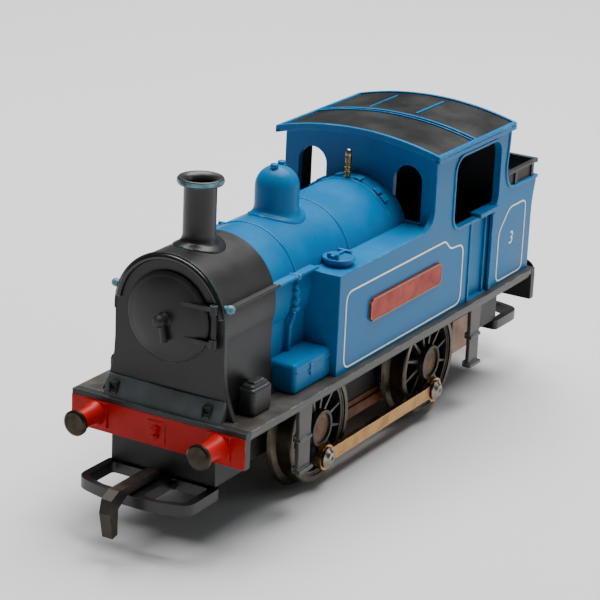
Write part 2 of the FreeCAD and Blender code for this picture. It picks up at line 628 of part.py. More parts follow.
def body_screws():
    """Two screws from below hold the moulding on the chassis."""
    made = []
    for x in ("screw_x", "-screw_x"):
        shank = rod("z", "screw_radius", f"{BAR_BOTTOM} + 0.2", f"{BLOCK_TOP} + 6", x, 0)
        head = rod("z", "screw_head", f"{BAR_BOTTOM} + 0.2", f"{BAR_BOTTOM} + 1.2", x, 0)
        drive = box(f"{x} - 2.5", f"{x} + 2.5", "-0.25", "0.25", BAR_BOTTOM, f"{BAR_BOTTOM} + 0.7")
        made.append(cut(fuse(shank, head), drive))
    node(fuse(*made), "body_screws")


def pickup():
    """Brown insulating plate under the bar, with a bronze strip down each side."""
    rear = f"({REAR_AXLE} + {AXLE_Z} - 2.4)"
    front = f"({FRONT_AXLE} - {AXLE_Z} + 1.8)"
    node(box(rear, front, "-plate_strip_half", "plate_strip_half", f"{BAR_BOTTOM} - plate_depth",
             BAR_BOTTOM), "pickup_plate")
    strip = box(rear, front, "plate_strip_half", "plate_strip_half + strip_thick",
                f"{BAR_BOTTOM} - 2.4", f"{BAR_BOTTOM} - 1")
    tips = [box(x, f"{x} + 0.8", "plate_strip_half + strip_thick", "wheel_back - 0.1",
                f"{BAR_BOTTOM} - 2.4", f"{BAR_BOTTOM} - 1") for x in (rear, f"{front} - 0.8")]
    left = fuse(strip, *tips)
    node(left, "pickup_strip_left")
    node(mirrored(left), "pickup_strip_right")
    node(box("-screw_x - capacitor_length / 2", "-screw_x + capacitor_length / 2", "bar_width / 2",
             "bar_width / 2 + capacitor_thick", f"{BAR_BOTTOM} - 0.4", f"{BAR_TOP} - 0.2"),
         "suppressor_capacitor")


# ---- couplings ----

def coupling(end):
    """Moulded loop under the end block, with a drop hook on a pin and one fixing screw."""
    top = "(loop_bottom + loop_thick)"
    tongue_rear, bar_rear = f"{CHASSIS_END} - block_length + 0.4", f"{HOOK_PIVOT} - 2"
    middle = f"({bar_rear} + 3.4)"
    frame = prism("XY", [(tongue_rear, "-tongue_half"), (bar_rear, "-tongue_half"),
                         (bar_rear, "-loop_half"),
                         (f"{LOOP_REACH} - 1.6", "-loop_half"), (LOOP_REACH, "-loop_half * 0.45"),
                         (LOOP_REACH, "loop_half * 0.45"), (f"{LOOP_REACH} - 1.6", "loop_half"),
                         (bar_rear, "loop_half"), (bar_rear, "tongue_half"),
                         (tongue_rear, "tongue_half")], "loop_bottom", top)
    inner = "(loop_half - loop_arm)"
    gap = prism("XY", [(middle, f"-{inner}"), (f"{LOOP_REACH} - loop_bar - 1.4", f"-{inner}"),
                       (f"{LOOP_REACH} - loop_bar", "-loop_half * 0.45"),
                       (f"{LOOP_REACH} - loop_bar", "loop_half * 0.45"),
                       (f"{LOOP_REACH} - loop_bar - 1.4", inner), (middle, inner)],
                "loop_bottom - 1", f"{top} + 1")
    slot = box(f"{HOOK_PIVOT} - 1.2", f"{middle} + 1", "-hook_half - side_gap", "hook_half + side_gap",
               "loop_bottom - 1", f"{top} + 1")
    pivot_z = "(loop_bottom + loop_thick / 2)"
    pin_hole = rod("y", "hook_pin", "-pin_half", "pin_half", HOOK_PIVOT, pivot_z)
    screw_hole = rod("z", "screw_radius + running_fit", "loop_bottom - 1", f"{top} + 1",
                     f"{CHASSIS_END} - fixing_inset", 0)
    pieces = {"coupling_loop": cut(frame, gap, slot, pin_hole, screw_hole)}
    pieces["hook_pin"] = rod("y", "hook_pin", "-pin_half", "pin_half", HOOK_PIVOT, pivot_z)
    rest = f"({top} + side_gap)"
    eye = rod("y", "eye_radius", "-hook_half", "hook_half", HOOK_PIVOT, pivot_z)
    low, high = f"({pivot_z} - eye_radius + 0.05)", f"({rest} + hook_deep)"
    hook = prism("XZ", [(f"{HOOK_PIVOT} - 0.3", low), (f"{HOOK_PIVOT} + 0.8", low),
                        (f"{HOOK_PIVOT} + 1.8", rest), (f"{LOOP_REACH} + 1", rest),
                        (f"{LOOP_REACH} + 3.1", f"{rest} - hook_deep"),
                        (f"{HOOK_REACH} - 2.2", f"{rest} - hook_drop + 0.3"),
                        (f"{HOOK_REACH} - 0.9", f"{rest} - hook_drop"), (HOOK_REACH, f"{rest} - 1.6"),
                        (f"{HOOK_REACH} - 0.5", f"{rest} + 0.5"), (f"{HOOK_REACH} - 2.4", high),
                        (f"{HOOK_PIVOT} + 1.2", high)], "-hook_half", "hook_half")
    eye_bore = rod("y", "hook_pin + running_fit", "-pin_half", "pin_half", HOOK_PIVOT, pivot_z)
    pieces["coupling_hook"] = cut(fuse(eye, hook), eye_bore)
    shank = rod("z", "screw_radius * 0.8", "loop_bottom", "block_bottom + fixing_depth",
                f"{CHASSIS_END} - fixing_inset", 0)
    head = rod("z", "fixing_head", "loop_bottom - 1", "loop_bottom", f"{CHASSIS_END} - fixing_inset", 0)
    pieces["coupling_screw"] = fuse(shank, head)
    for name, piece in pieces.items():
        node(mirrored(piece, (1, 0, 0)) if end == "rear" else piece, f"{name}_{end}")


# ---- body moulding ----

def running_plate():
    plate = box("-plate_half", "plate_half", "-plate_side", "plate_side", "plate_top - 0.9",
                "plate_top")
    valance = box("-plate_half", "plate_half", "-plate_side + 0.35", "plate_side - 0.35", UNDERSIDE,
                  "plate_top")
    beams = [box(low, high, "-plate_side", "plate_side", "beam_bottom", "plate_top")
             for low, high in (("plate_half - beam_thick", "plate_half"),
                               ("-plate_half", "beam_thick - plate_half"))]
    return [plate, valance, *beams]


def barrel():
    """Boiler with its skirt, flared smokebox, front plate and dished door."""
    boiler = rod("x", "boiler_radius", "cab_front - 1", "smokebox_rear", 0, "boiler_axis")
    band = rod("x", "boiler_radius + 0.25", "cab_front + 2.2", "cab_front + 3.6", 0, "boiler_axis")
    skirt = box("tank_front - 1", "smokebox_rear + 1", "-skirt_side", "skirt_side", UNDERSIDE,
                "boiler_axis")
    smokebox = rod("x", "smokebox_radius", "smokebox_rear", "smokebox_front", 0, "boiler_axis")
    foot = "(plate_top - 0.5)"
    saddle = prism("YZ", [("-saddle_side", foot), ("saddle_side", foot),
                          ("saddle_side * 0.88", "plate_top + 4"),
                          ("smokebox_radius * 1.01", "plate_top + 8"),
                          ("smokebox_radius * 0.97", "boiler_axis - 2"),
                          ("-smokebox_radius * 0.97", "boiler_axis - 2"),
                          ("-smokebox_radius * 1.01", "plate_top + 8"),
                          ("-saddle_side * 0.88", "plate_top + 4")], "smokebox_rear", "smokebox_front")
    front = rod("x", "smokebox_radius + 0.1", "smokebox_front - 0.8", "smokebox_front + 0.15", 0,
                "boiler_axis")
    rise = "(door_radius * 0.35)"
    door = lathe([(0, 0), ("door_radius", 0), ("door_radius", "door_dish * 0.5"),
                  (f"door_radius - {rise}", "door_dish"), (0, "door_dish * 1.3")],
                 "smokebox_front", 0, "boiler_axis", AXIS["x"])
    knob = lathe([(0, 0), (0.9, 0), (0.9, 1.2), (0.5, 1.6), (0.5, 2.6), (0, 2.6)],
                 "smokebox_front", 0, "boiler_axis", AXIS["x"])
    cover = prism("XZ", [("smokebox_front - 0.4", "plate_top - 0.5"),
                         ("smokebox_front + 1.2", "plate_top - 0.5"),
                         ("smokebox_front + 0.4", "plate_top + 2.8"),
                         ("smokebox_front - 0.4", "plate_top + 2.8")], "-cover_half", "cover_half")
    return [boiler, band, skirt, smokebox, saddle, front, door, knob, cover]


def chimney():
    foot = "(boiler_axis + smokebox_radius)"
    return lathe([(0, f"{foot} - 3.2"), ("chimney_foot", f"{foot} - 3.2"),
                  ("chimney_foot", f"{foot} - 1.2"), ("chimney_radius + 0.35", f"{foot} + 0.4"),
                  ("chimney_radius", f"{foot} + 1.2"), ("chimney_radius - 0.15", "chimney_top - 1.3"),
                  ("chimney_rim", "chimney_top - 1.0"), ("chimney_rim", "chimney_top"),
                  (0, "chimney_top")], "chimney_x")


def dome():
    foot = "(boiler_axis + boiler_radius)"
    body = lathe([(0, f"{foot} - 3"), ("dome_foot", f"{foot} - 3"), ("dome_foot", f"{foot} - 1.3"),
                  ("dome_radius + 0.4", f"{foot} - 0.2"), ("dome_radius", f"{foot} + 0.9"),
                  ("dome_radius", "dome_top - dome_radius"),
                  ("dome_radius * 0.87", "dome_top - dome_radius / 2"),
                  ("dome_radius * 0.5", "dome_top - dome_radius * 0.14"), (0, "dome_top")], "dome_x")
    knobs = [rod("z", 0.45, "dome_top - 1", "dome_top + 0.5", f"dome_x {sign} 1.1", 0)
             for sign in "+-"]
    return [body, *knobs]


def cab_roof():
    """Arc roof over the whole cab, made from two coaxial barrels cut to the roof's plan."""
    centre = "(roof_apex - roof_radius)"
    outer = rod("x", "roof_radius", "roof_rear", "roof_front", 0, centre)
    inner = rod("x", "roof_radius - roof_thick", "roof_rear - 1", "roof_front + 1", 0, centre)
    plan = box("roof_rear", "roof_front", "-roof_side", "roof_side", f"{EAVES} - 2.5", "roof_apex")
    return common(cut(outer, inner), plan)


def upper_cab():
    """Solid cab block up to the roof's underside; the hollow is cut later."""
    centre = "(roof_apex - roof_radius)"
    block = box("cab_rear", "cab_front", "-side_face", "side_face", "tank_top - 1", "roof_apex")
    under = rod("x", "roof_radius - roof_thick / 2", "cab_rear", "cab_front", 0, centre)
    return common(block, under)


def lower_body():
    """Tanks, cab sides and bunker, with the bunker's flared top and its coal rail."""
    tanks = box("cab_rear", "tank_front", "-side_face", "side_face", UNDERSIDE, "tank_top")
    bunker = prism("XZ", [("cab_rear + 2", UNDERSIDE), ("cab_rear + 2", "bunker_top + 4"),
                          ("cab_rear", "bunker_top + 3.6"), ("cab_rear - 0.6", "bunker_top + 1.2"),
                          ("cab_rear - 2.2", "bunker_top"), ("bunker_rear - 1.3", "bunker_top"),
                          ("bunker_rear - 0.6", "bunker_top - 2"), ("bunker_rear", "bunker_top - 5"),
                          ("bunker_rear", UNDERSIDE)], "-side_face", "side_face")
    rail = "(bunker_top + coal_rail_gap)"
    across = box("bunker_rear - 1.3", "bunker_rear - 0.6", "-side_face", "side_face", rail,
                 f"{rail} + coal_rail_thick")
    arms = both_sides(box("bunker_rear - 1.3", "bunker_rear + 3.5", "side_face - coal_rail_thick",
                          "side_face", rail, f"{rail} + coal_rail_thick"))
    posts = both_sides(box("bunker_rear + 0.8", "bunker_rear + 3", "side_face - 0.9",
                           "side_face - 0.2", "bunker_top - 1", rail))
    return [tanks, bunker, across, arms, posts]


def side_fittings():
    """Left-hand boxes, filler, handrail, clack valve and footsteps."""
    sandbox = box("sandbox_front - sandbox_length", "sandbox_front", "sandbox_outer - sandbox_width",
                  "sandbox_outer", UNDERSIDE, "plate_top + sandbox_height")
    sand_lid = box("sandbox_front - sandbox_length + 0.4", "sandbox_front - 0.4",
                   "sandbox_outer - sandbox_width + 0.4", "sandbox_outer - 0.4", "plate_top + 4",
                   "plate_top + sandbox_height + 0.5")
    toolbox = box("tank_front - 0.5", "toolbox_front", "skirt_side - 0.5", "toolbox_outer",
                  UNDERSIDE, "plate_top + toolbox_height")
    filler = rod("z", "filler_radius", "tank_top - 0.5", "tank_top + filler_height", "filler_x",
                 "filler_y")
    lid = rod("z", "filler_radius + 0.3", "tank_top + filler_height - 0.5",
              "tank_top + filler_height", "filler_x", "filler_y")
    rail = rod("x", "rail_radius", "tank_front - 0.5", "smokebox_front - 0.2", "rail_side",
               "rail_height")
    knobs = [rod("y", "knob_radius", "boiler_radius * 0.85", "rail_side + knob_radius", x, "rail_height")
             for x in ("tank_front + 4", "smokebox_rear", "smokebox_front - 0.7")]
    valve = rod("z", "valve_radius", "boiler_axis - 3", "boiler_axis + 1.6", "valve_x",
                "boiler_radius + 0.1")
    pipe = rod("z", "pipe_radius", "plate_top + 4", "boiler_axis - 2", "valve_x",
               "boiler_radius + 0.1")
    base = box("plate_half - 0.2", "plate_half + 0.6", "buffer_y - 2.2", "buffer_y + 2.2",
               "buffer_height - 2.2", "buffer_height + 2.2")
    shank = lathe([(0, 0), (1.9, 0), (1.4, "buffer_reach - head_thick"),
                   (0, "buffer_reach - head_thick")], "plate_half", "buffer_y", "buffer_height",
                  AXIS["x"])
    pin_hole = rod("x", "buffer_pin", "plate_half + 2", "plate_half + 8", "buffer_y", "buffer_height")
    fronts = [sandbox, sand_lid, toolbox, filler, lid, rail, *knobs, valve, pipe]
    buffers = cut(fuse(base, shank), pin_hole)
    both_ends = fuse(buffers, mirrored(buffers, (1, 0, 0)))
    return [*fronts, both_ends, *footsteps()]


def footsteps():
    """Two hanging plates on a side, each with two treads."""
    made = []
    outer = "(plate_side - 0.44)"
    for middle in ("step_front_x", "step_rear_x"):
        rear, front = f"{middle} - step_length / 2", f"{middle} + step_length / 2"
        made.append(box(rear, front, f"{outer} - step_thick", outer, "tread_low + 0.2",
                        f"{UNDERSIDE} + 0.4"))
        for height in ("tread_low", "tread_high"):
            made.append(box(rear, front, f"{outer} - step_thick - 0.3", "plate_side", height,
                            f"{height} + tread_thick"))
    return made


def shell_hollows():
    """Everything cut out of the moulding: cavities, windows, cab openings and the coal space."""
    inside, deck = "(side_face - wall)", "(tank_top - wall)"
    tanks = box("cab_front - 2", "tank_front - wall", f"-{inside}", inside, UNDERSIDE + " - 1", deck)
    rear = box("bunker_rear + wall", "cab_front - 1.9", f"-{inside}", inside, UNDERSIDE + " - 1",
               "bunker_floor - wall")
    cab = common(box("cab_rear + wall", "cab_front - wall", f"-{inside}", inside,
                     "bunker_floor - 2 * wall", "roof_apex"),
                 rod("x", "roof_radius - roof_thick", "cab_rear", "cab_front", 0,
                     "(roof_apex - roof_radius)"))
    boiler = rod("x", "boiler_radius - wall", "cab_front - wall / 2", "smokebox_rear + 1", 0,
                 "boiler_axis")
    smokebox = rod("x", "smokebox_radius - wall", "smokebox_rear", "smokebox_front - wall", 0,
                   "boiler_axis")
    below = box("tank_front - 2", "smokebox_front - wall", "-(skirt_side - wall)",
                "skirt_side - wall", UNDERSIDE + " - 1", "boiler_axis")
    wheel_rooms = [both_sides(box(f"{middle} - {AXLE_Z} - 0.8", f"{middle} + {AXLE_Z} + 0.8",
                                  "wheel_back - 0.6", "wheel_face + 1", UNDERSIDE + " - 1",
                                  f"2 * {AXLE_Z} + 1.4")) for middle in AXLES.values()]
    coal = prism("XZ", [("cab_rear - wall", "bunker_floor + 2"), ("cab_rear - wall", "bunker_top + 6"),
                        ("bunker_rear - 2", "bunker_top + 6"), ("bunker_rear - 1.3 + wall", "bunker_top"),
                        ("bunker_rear + wall", "bunker_top - 4"), ("bunker_rear + wall", "bunker_floor")],
                 f"-{inside}", inside)
    bore = rod("z", "chimney_bore", "boiler_axis + smokebox_radius - 0.5", "chimney_top + 1",
               "chimney_x", 0)
    return [tanks, rear, cab, boiler, smokebox, below, *wheel_rooms, coal, bore]


def rounded_opening(low, high):
    """The cab's side opening: four corner cylinders and two crossing slabs, right through."""
    corner = "opening_corner"
    front, rear, sill, top = "opening_front", "opening_rear", "opening_sill", "opening_top"
    slabs = [box(f"{rear} + {corner}", f"{front} - {corner}", low, high, sill, top),
             box(rear, front, low, high, f"{sill} + {corner}", f"{top} - {corner}")]
    corners = [rod("y", corner, low, high, x, z) for x in (f"{rear} + {corner}", f"{front} - {corner}")
               for z in (f"{sill} + {corner}", f"{top} - {corner}")]
    return fuse(*slabs, *corners)


def windows():
    """Arched front windows, cab openings, door recesses and the whistle's hole."""
    arch = rod("x", "window_radius", "cab_front - wall - 1", "cab_front + 1", "window_offset",
               "window_spring")
    lower = box("cab_front - wall - 1", "cab_front + 1", "window_offset - window_radius",
                "window_offset + window_radius", "window_sill", "window_spring")
    recess = box("door_rear", "door_front", "side_face - door_depth", "side_face + 1", "plate_top",
                 "opening_sill - 0.6")
    hole = rod("z", "whistle_stem", "boiler_axis + boiler_radius - 2", "boiler_axis + boiler_radius + 2",
               "whistle_x", 0)
    return [both_sides(fuse(arch, lower)), rounded_opening("-side_face - 1", "side_face + 1"),
            both_sides(recess), hole]


def body_shell():
    """One moulding: running plate, tanks, boiler, smokebox, cab and bunker."""
    left = side_fittings()
    solid = fuse(*running_plate(), *barrel(), chimney(), *dome(), cab_roof(), upper_cab(),
                 *lower_body(), *left, mirrored(fuse(*left)))
    hollow = cut(solid, *shell_hollows(), *windows())
    bosses = [rod("z", "screw_radius + 1.6", BLOCK_TOP, top, x, 0)
              for x, top in (("screw_x", "boiler_axis - smokebox_radius + wall"),
                             ("-screw_x", "bunker_floor - wall / 2"))]
    holes = [rod("z", "screw_radius", f"{BLOCK_TOP} - 1", f"{BLOCK_TOP} + 6.4", x, 0)
             for x in ("screw_x", "-screw_x")]
    ties = [box("screw_x - 0.6", "screw_x + 0.6", "-skirt_side + 0.1", "skirt_side - 0.1",
                f"{BLOCK_TOP} + 4.6", f"{BLOCK_TOP} + 9")]
    node(cut(fuse(hollow, *bosses, *ties), *holes), "body_shell")


def fixed_trim():
    """Ballast, whistle, buffer heads and nameplates, each a piece of its own."""
    node(rod("x", "smokebox_radius - wall", "smokebox_rear", "smokebox_front - wall - 1", 0,
             "boiler_axis"), "ballast_weight")
    top = "(boiler_axis + boiler_radius)"
    node(lathe([(0, f"{top} - 1"), ("whistle_stem", f"{top} - 1"), ("whistle_stem", f"{top} + 1.2"),
                (0.62, f"{top} + 1.4"), (0.62, f"{top} + 1.8"), (0.32, f"{top} + 2"),
                (0.32, f"{top} + 2.4"), (0.55, f"{top} + 2.6"), (0.55, "whistle_top - 0.3"),
                (0.2, "whistle_top"), (0, "whistle_top")], "whistle_x"), "whistle")
    for end, turn in (("front", AXIS["x"]), ("rear", FreeCAD.Rotation(FreeCAD.Vector(0, 1, 0), -90))):
        sign = "" if end == "front" else "-"
        for side in ("left", "right"):
            y = "buffer_y" if side == "left" else "-buffer_y"
            head = lathe([(0, 2), ("buffer_pin", 2), ("buffer_pin", "buffer_reach - head_thick"),
                          ("buffer_head", "buffer_reach - head_thick"),
                          ("buffer_head", "buffer_reach - 0.25"),
                          ("buffer_head - 0.3", "buffer_reach"), (0, "buffer_reach")],
                         f"{sign}plate_half", y, "buffer_height", turn)
            node(head, f"buffer_head_{end}_{side}")
    plate = box("nameplate_front - nameplate_length", "nameplate_front", "side_face",
                "side_face + nameplate_thick", "nameplate_bottom", "nameplate_bottom + nameplate_height")
    node(plate, "nameplate_left")
    node(mirrored(plate), "nameplate_right")


def check_and_export():
    """Refuse a failed object or a bad solid, then write one STEP file for each sub-part."""
    doc.recompute()
    failed = [item.Name for item in doc.Objects if {"Invalid", "Error"} & set(item.State)]
    bad = [item.Label for item in nodes if item.Shape.isNull() or not item.Shape.isValid()
           or not item.Shape.Solids]
    if failed or bad:
        raise RuntimeError(f"failed objects {failed}, bad sub-parts {bad}")
    os.makedirs("parts", exist_ok=True)
    for item in nodes:
        item.Shape.exportStep(os.path.join("parts", item.Label + ".step"))
        print(f"{item.Label}: {len(item.Shape.Solids)} solid(s), {item.Shape.Volume:.1f} mm3")


for end in ("front", "rear"):
    axle(end)
    coupling(end)
    for side in ("left", "right"):
        tyre(end, side)
        wheel_centre(end, side)
        crankpin(end, side)
for side in ("left", "right"):
    coupling_rod(side)
    pole_piece(side)
    brush_gear(side)
worm_wheel()
worm()
armature()
motor_frame()
chassis_block()
body_screws()
pickup()
fixed_trim()
body_shell()
check_and_export()
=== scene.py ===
import math

import bmesh
import bpy
from mathutils import Matrix, Vector


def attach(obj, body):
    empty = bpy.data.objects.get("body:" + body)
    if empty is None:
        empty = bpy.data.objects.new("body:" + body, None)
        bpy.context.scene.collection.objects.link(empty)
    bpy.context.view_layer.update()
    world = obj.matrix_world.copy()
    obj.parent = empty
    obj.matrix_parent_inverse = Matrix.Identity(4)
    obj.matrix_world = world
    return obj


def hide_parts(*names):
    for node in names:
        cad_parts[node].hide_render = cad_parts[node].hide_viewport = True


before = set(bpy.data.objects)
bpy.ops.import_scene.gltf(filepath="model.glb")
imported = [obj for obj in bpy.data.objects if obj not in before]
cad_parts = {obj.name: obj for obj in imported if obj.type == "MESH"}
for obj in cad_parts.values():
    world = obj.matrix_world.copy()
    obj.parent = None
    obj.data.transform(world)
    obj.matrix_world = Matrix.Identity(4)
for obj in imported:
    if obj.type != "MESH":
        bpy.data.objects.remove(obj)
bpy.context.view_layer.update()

# ---- Camera ----
# A long lens looks down on the left front corner of the engine, a little rolled,
# so the smokebox front and the whole left side show.
MM = 0.001
heading, dip, roll = math.radians(-150), math.radians(19.305), math.radians(2.583)
forward = Vector((math.cos(dip) * math.cos(heading), math.cos(dip) * math.sin(heading), -math.sin(dip)))
level = forward.cross(Vector((0, 0, 1))).normalized()
upright = level.cross(forward)
right = level * math.cos(roll) + upright * math.sin(roll)
up = upright * math.cos(roll) - level * math.sin(roll)
lens = bpy.data.cameras.new("camera")
lens.sensor_width, lens.lens = 36, 144.73
lens.shift_x, lens.shift_y = -0.0023, 0.0012
lens.clip_start, lens.clip_end = 0.01, 20
camera = bpy.data.objects.new("camera", lens)
stand = Vector((324.7, 183.3, 154.0)) * MM
camera.matrix_world = Matrix.Translation(stand) @ Matrix((right, up, -forward)).transposed().to_4x4()
bpy.context.scene.collection.objects.link(camera)
bpy.context.scene.camera = camera


# ---- Floor and light ----
# Matt pale paper lies under the engine. One wide soft box hangs overhead and a smaller one stands
# off to the left and behind, so the tops shine, the left side is mid-toned and the front is dim.
def linear(code):
    """sRGB hex to the linear colour that the shaders take."""
    channels = [int(code[i:i + 2], 16) / 255 for i in (1, 3, 5)]
    return (*[c / 12.92 if c <= 0.04045 else ((c + 0.055) / 1.055) ** 2.4 for c in channels], 1)


def add_node(tree, kind, inputs=None, **settings):
    """Add one node with its settings; an input may be a value or another node's socket."""
    node = tree.nodes.new(kind)
    for name, value in settings.items():
        setattr(node, name, value)
    for name, value in (inputs or {}).items():
        if isinstance(value, bpy.types.NodeSocket):
            tree.links.new(value, node.inputs[name])
        else:
            node.inputs[name].default_value = value
    return node


def new_finish(name):
    """Empty procedural material and its Principled shader."""
    finish = bpy.data.materials.new(name)
    finish.use_nodes = True
    return finish, finish.node_tree, finish.node_tree.nodes["Principled BSDF"]


# Uncoated paper: quite matt, with cloudy patches about a ninth of a metre across.
paper, tree, shader = new_finish("studio_paper")
place = add_node(tree, "ShaderNodeTexCoord").outputs["Object"]
clouds_per_metre = 9
mottle = add_node(tree, "ShaderNodeTexNoise", {"Vector": place, "Scale": clouds_per_metre, "Detail": 3})
tone = add_node(tree, "ShaderNodeMix", {0: mottle.outputs["Fac"], 6: linear("#D6D7D8"),
                                        7: linear("#DEDEDD")}, data_type="RGBA")
tree.links.new(tone.outputs[2], shader.inputs["Base Color"])
shader.inputs["Roughness"].default_value = 0.85
ground = bmesh.new()
paper_half_width = 3
bmesh.ops.create_grid(ground, x_segments=1, y_segments=1, size=paper_half_width)
floor_mesh = bpy.data.meshes.new("floor")
ground.to_mesh(floor_mesh)
ground.free()
floor_mesh.materials.append(paper)
floor = bpy.data.objects.new("floor", floor_mesh)
bpy.context.scene.collection.objects.link(floor)

# Each lamp: name, place and size in metres, power in watts. Both aim at the middle of the engine.
lamps = (("overhead", (-0.17, -0.03, 0.66), 0.7, 0.6, 13.0), ("left", (-0.45, 0.62, 0.3), 0.4, 0.3, 0.7))
engine_middle = Vector((0, 0, 0.03))
for name, spot, wide, high, power in lamps:
    lamp = bpy.data.lights.new(name, "AREA")
    lamp.shape, lamp.size, lamp.size_y, lamp.energy = "RECTANGLE", wide, high, power
    holder = bpy.data.objects.new(name, lamp)
    aim = (Vector(spot) - engine_middle).to_track_quat("Z", "Y")
    holder.matrix_world = Matrix.Translation(spot) @ aim.to_matrix().to_4x4()
    bpy.context.scene.collection.objects.link(holder)
world = bpy.data.worlds.new("studio")
world.use_nodes = True
world.node_tree.nodes["Background"].inputs["Color"].default_value = linear("#C4CAD0")
world.node_tree.nodes["Background"].inputs["Strength"].default_value = 0.12
bpy.context.scene.world = world


# ---- Chassis casting ----
# The real one is a die-cast zinc bar with two end blocks, painted black in the works.
# The paint has rubbed to a dusty satin with bare metal at the corners.
def worn_finish(name, base, patch, chip, roughness, wear=0.5, metallic=0.0, edge_mm=0.22, patch_mm=7,
                grain_mm=0.5, scuff_mm=1.6, relief=0.1, speckle=0.0, spared=0.94, sheen=0.5):
    """Worn coat: mottled colour, chips that gather on the edges, and a fine moulded grain.

    The patches, scuffs and grain take their scale from a real size in millimetres. The grain is
    drawn a few times coarser than the real one, which would be too fine to show."""
    finish, tree, shader = new_finish(name)
    place = add_node(tree, "ShaderNodeTexCoord").outputs["Object"]
    patches = add_node(tree, "ShaderNodeTexNoise",
                       {"Vector": place, "Scale": 1000 / patch_mm, "Detail": 5, "Roughness": 0.6})
    shade = add_node(tree, "ShaderNodeMapRange", {"Value": patches.outputs["Fac"], "From Min": 0.38,
                                                  "From Max": 0.66})
    two_tone = add_node(tree, "ShaderNodeMix", {0: shade.outputs["Result"], 6: linear(base),
                                                7: linear(patch)}, data_type="RGBA")
    grain = add_node(tree, "ShaderNodeTexNoise",
                     {"Vector": place, "Scale": 1000 / grain_mm, "Detail": 3, "Roughness": 0.55})
    rounded_edge = add_node(tree, "ShaderNodeBevel", {"Radius": edge_mm * MM}, samples=4)
    true_face = add_node(tree, "ShaderNodeNewGeometry")
    flatness = add_node(tree, "ShaderNodeVectorMath", {0: rounded_edge.outputs["Normal"],
                                                       1: true_face.outputs["Normal"]},
                        operation="DOT_PRODUCT")
    scuff = add_node(tree, "ShaderNodeTexNoise",
                     {"Vector": place, "Scale": 1000 / scuff_mm, "Detail": 4, "Roughness": 0.65})
    # On most finishes these edge chips are wear; on the coupling rods they are a painted highlight.
    edge = add_node(tree, "ShaderNodeMapRange", {"Value": flatness.outputs["Value"], "From Min": 0.995,
                                                 "From Max": 0.9, "To Max": wear})
    lifted = add_node(tree, "ShaderNodeMath", {0: edge.outputs["Result"], 1: scuff.outputs["Fac"]},
                      operation="MULTIPLY")
    chips = add_node(tree, "ShaderNodeMapRange", {"Value": lifted.outputs[0], "From Min": 0.2,
                                                  "From Max": 0.34})
    specks = add_node(tree, "ShaderNodeMapRange", {"Value": scuff.outputs["Fac"], "From Min": 0.74,
                                                   "From Max": 0.78, "To Max": speckle})
    handled = add_node(tree, "ShaderNodeMapRange", {"Value": patches.outputs["Fac"], "From Min": 0.47,
                                                    "From Max": 0.6, "To Min": 1 - spared})
    rubbed = add_node(tree, "ShaderNodeMath", {0: chips.outputs["Result"], 1: handled.outputs["Result"]},
                      operation="MULTIPLY")
    bare = add_node(tree, "ShaderNodeMath", {0: rubbed.outputs[0], 1: specks.outputs["Result"]},
                    operation="MAXIMUM")
    surface = add_node(tree, "ShaderNodeMix", {0: bare.outputs[0], 6: two_tone.outputs[2], 7: linear(chip)},
                       data_type="RGBA")
    polish = add_node(tree, "ShaderNodeMapRange", {"Value": patches.outputs["Fac"], "From Min": 0.3,
                                                   "From Max": 0.7, "To Min": roughness - 0.07,
                                                   "To Max": roughness + 0.09})
    bump = add_node(tree, "ShaderNodeBump", {"Height": grain.outputs["Fac"], "Strength": relief,
                                             "Distance": 0.05 * MM})
    tree.links.new(surface.outputs[2], shader.inputs["Base Color"])
    tree.links.new(polish.outputs["Result"], shader.inputs["Roughness"])
    tree.links.new(bump.outputs["Normal"], shader.inputs["Normal"])
    shader.inputs["Metallic"].default_value = metallic
    shader.inputs["Specular IOR Level"].default_value = sheen
    return finish


def coat(finish, *nodes):
    """Put a finish on whole CAD nodes that keep their own shape."""
    for name in nodes:
        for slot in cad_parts[name].material_slots:
            slot.material = finish


coat(worn_finish("painted_zinc_black", "#1D1C1B", "#2A2725", "#6E6A64", 0.55, wear=0.45), "chassis_block")

# ---- Motor, gears and ballast ----
# Open-frame motor: stamped iron, a grey magnet, copper windings and a nylon worm wheel.
# It shows only from below and through the cab, so each part keeps its plain shop finish.
# Stamped and plated steel give a soft grey glint, enamelled wire and turned brass a warm one.
iron = worn_finish("stamped_iron", "#77736E", "#5C5852", "#8F8C88", 0.42, metallic=1.0, wear=0.2)
zinc_plate = worn_finish("zinc_plated_steel", "#A9A59B", "#8C877B", "#C4C0B8", 0.36, metallic=1.0,
                         wear=0.2)
copper = worn_finish("enamelled_copper_wire", "#8C4A24", "#6B3216", "#B46A3C", 0.34, metallic=1.0,
                     wear=0.2, patch_mm=2)
brass = worn_finish("turned_brass", "#8B7344", "#3B3122", "#CDBB8C", 0.3, metallic=1.0, wear=0.6,
                    patch_mm=1.2)
coat(iron, "armature_core", "pole_piece_left", "pole_piece_right")
coat(zinc_plate, "motor_bracket_front", "motor_bracket_rear", "motor_shaft")
coat(copper, "armature_windings", "commutator")
coat(brass, "worm", "motor_bearing_front", "motor_bearing_rear", "brush_arm_left", "brush_arm_right")
# The magnet, lead, nylon and carbon are dull: grey, leaden, cream and near black.
coat(worn_finish("sintered_magnet", "#4A4A4C", "#39393B", "#6A6A6C", 0.6, wear=0.3), "magnet")
coat(worn_finish("cast_lead", "#55565A", "#44454A", "#77787C", 0.5, metallic=1.0, wear=0.2),
     "ballast_weight")
coat(worn_finish("moulded_nylon", "#CFC8B0", "#BDB498", "#DCD6C2", 0.45, wear=0.1), "worm_wheel")
coat(worn_finish("pressed_carbon", "#1B1B1C", "#262627", "#39393A", 0.6, wear=0.1), "carbon_brush_left",
     "carbon_brush_right")
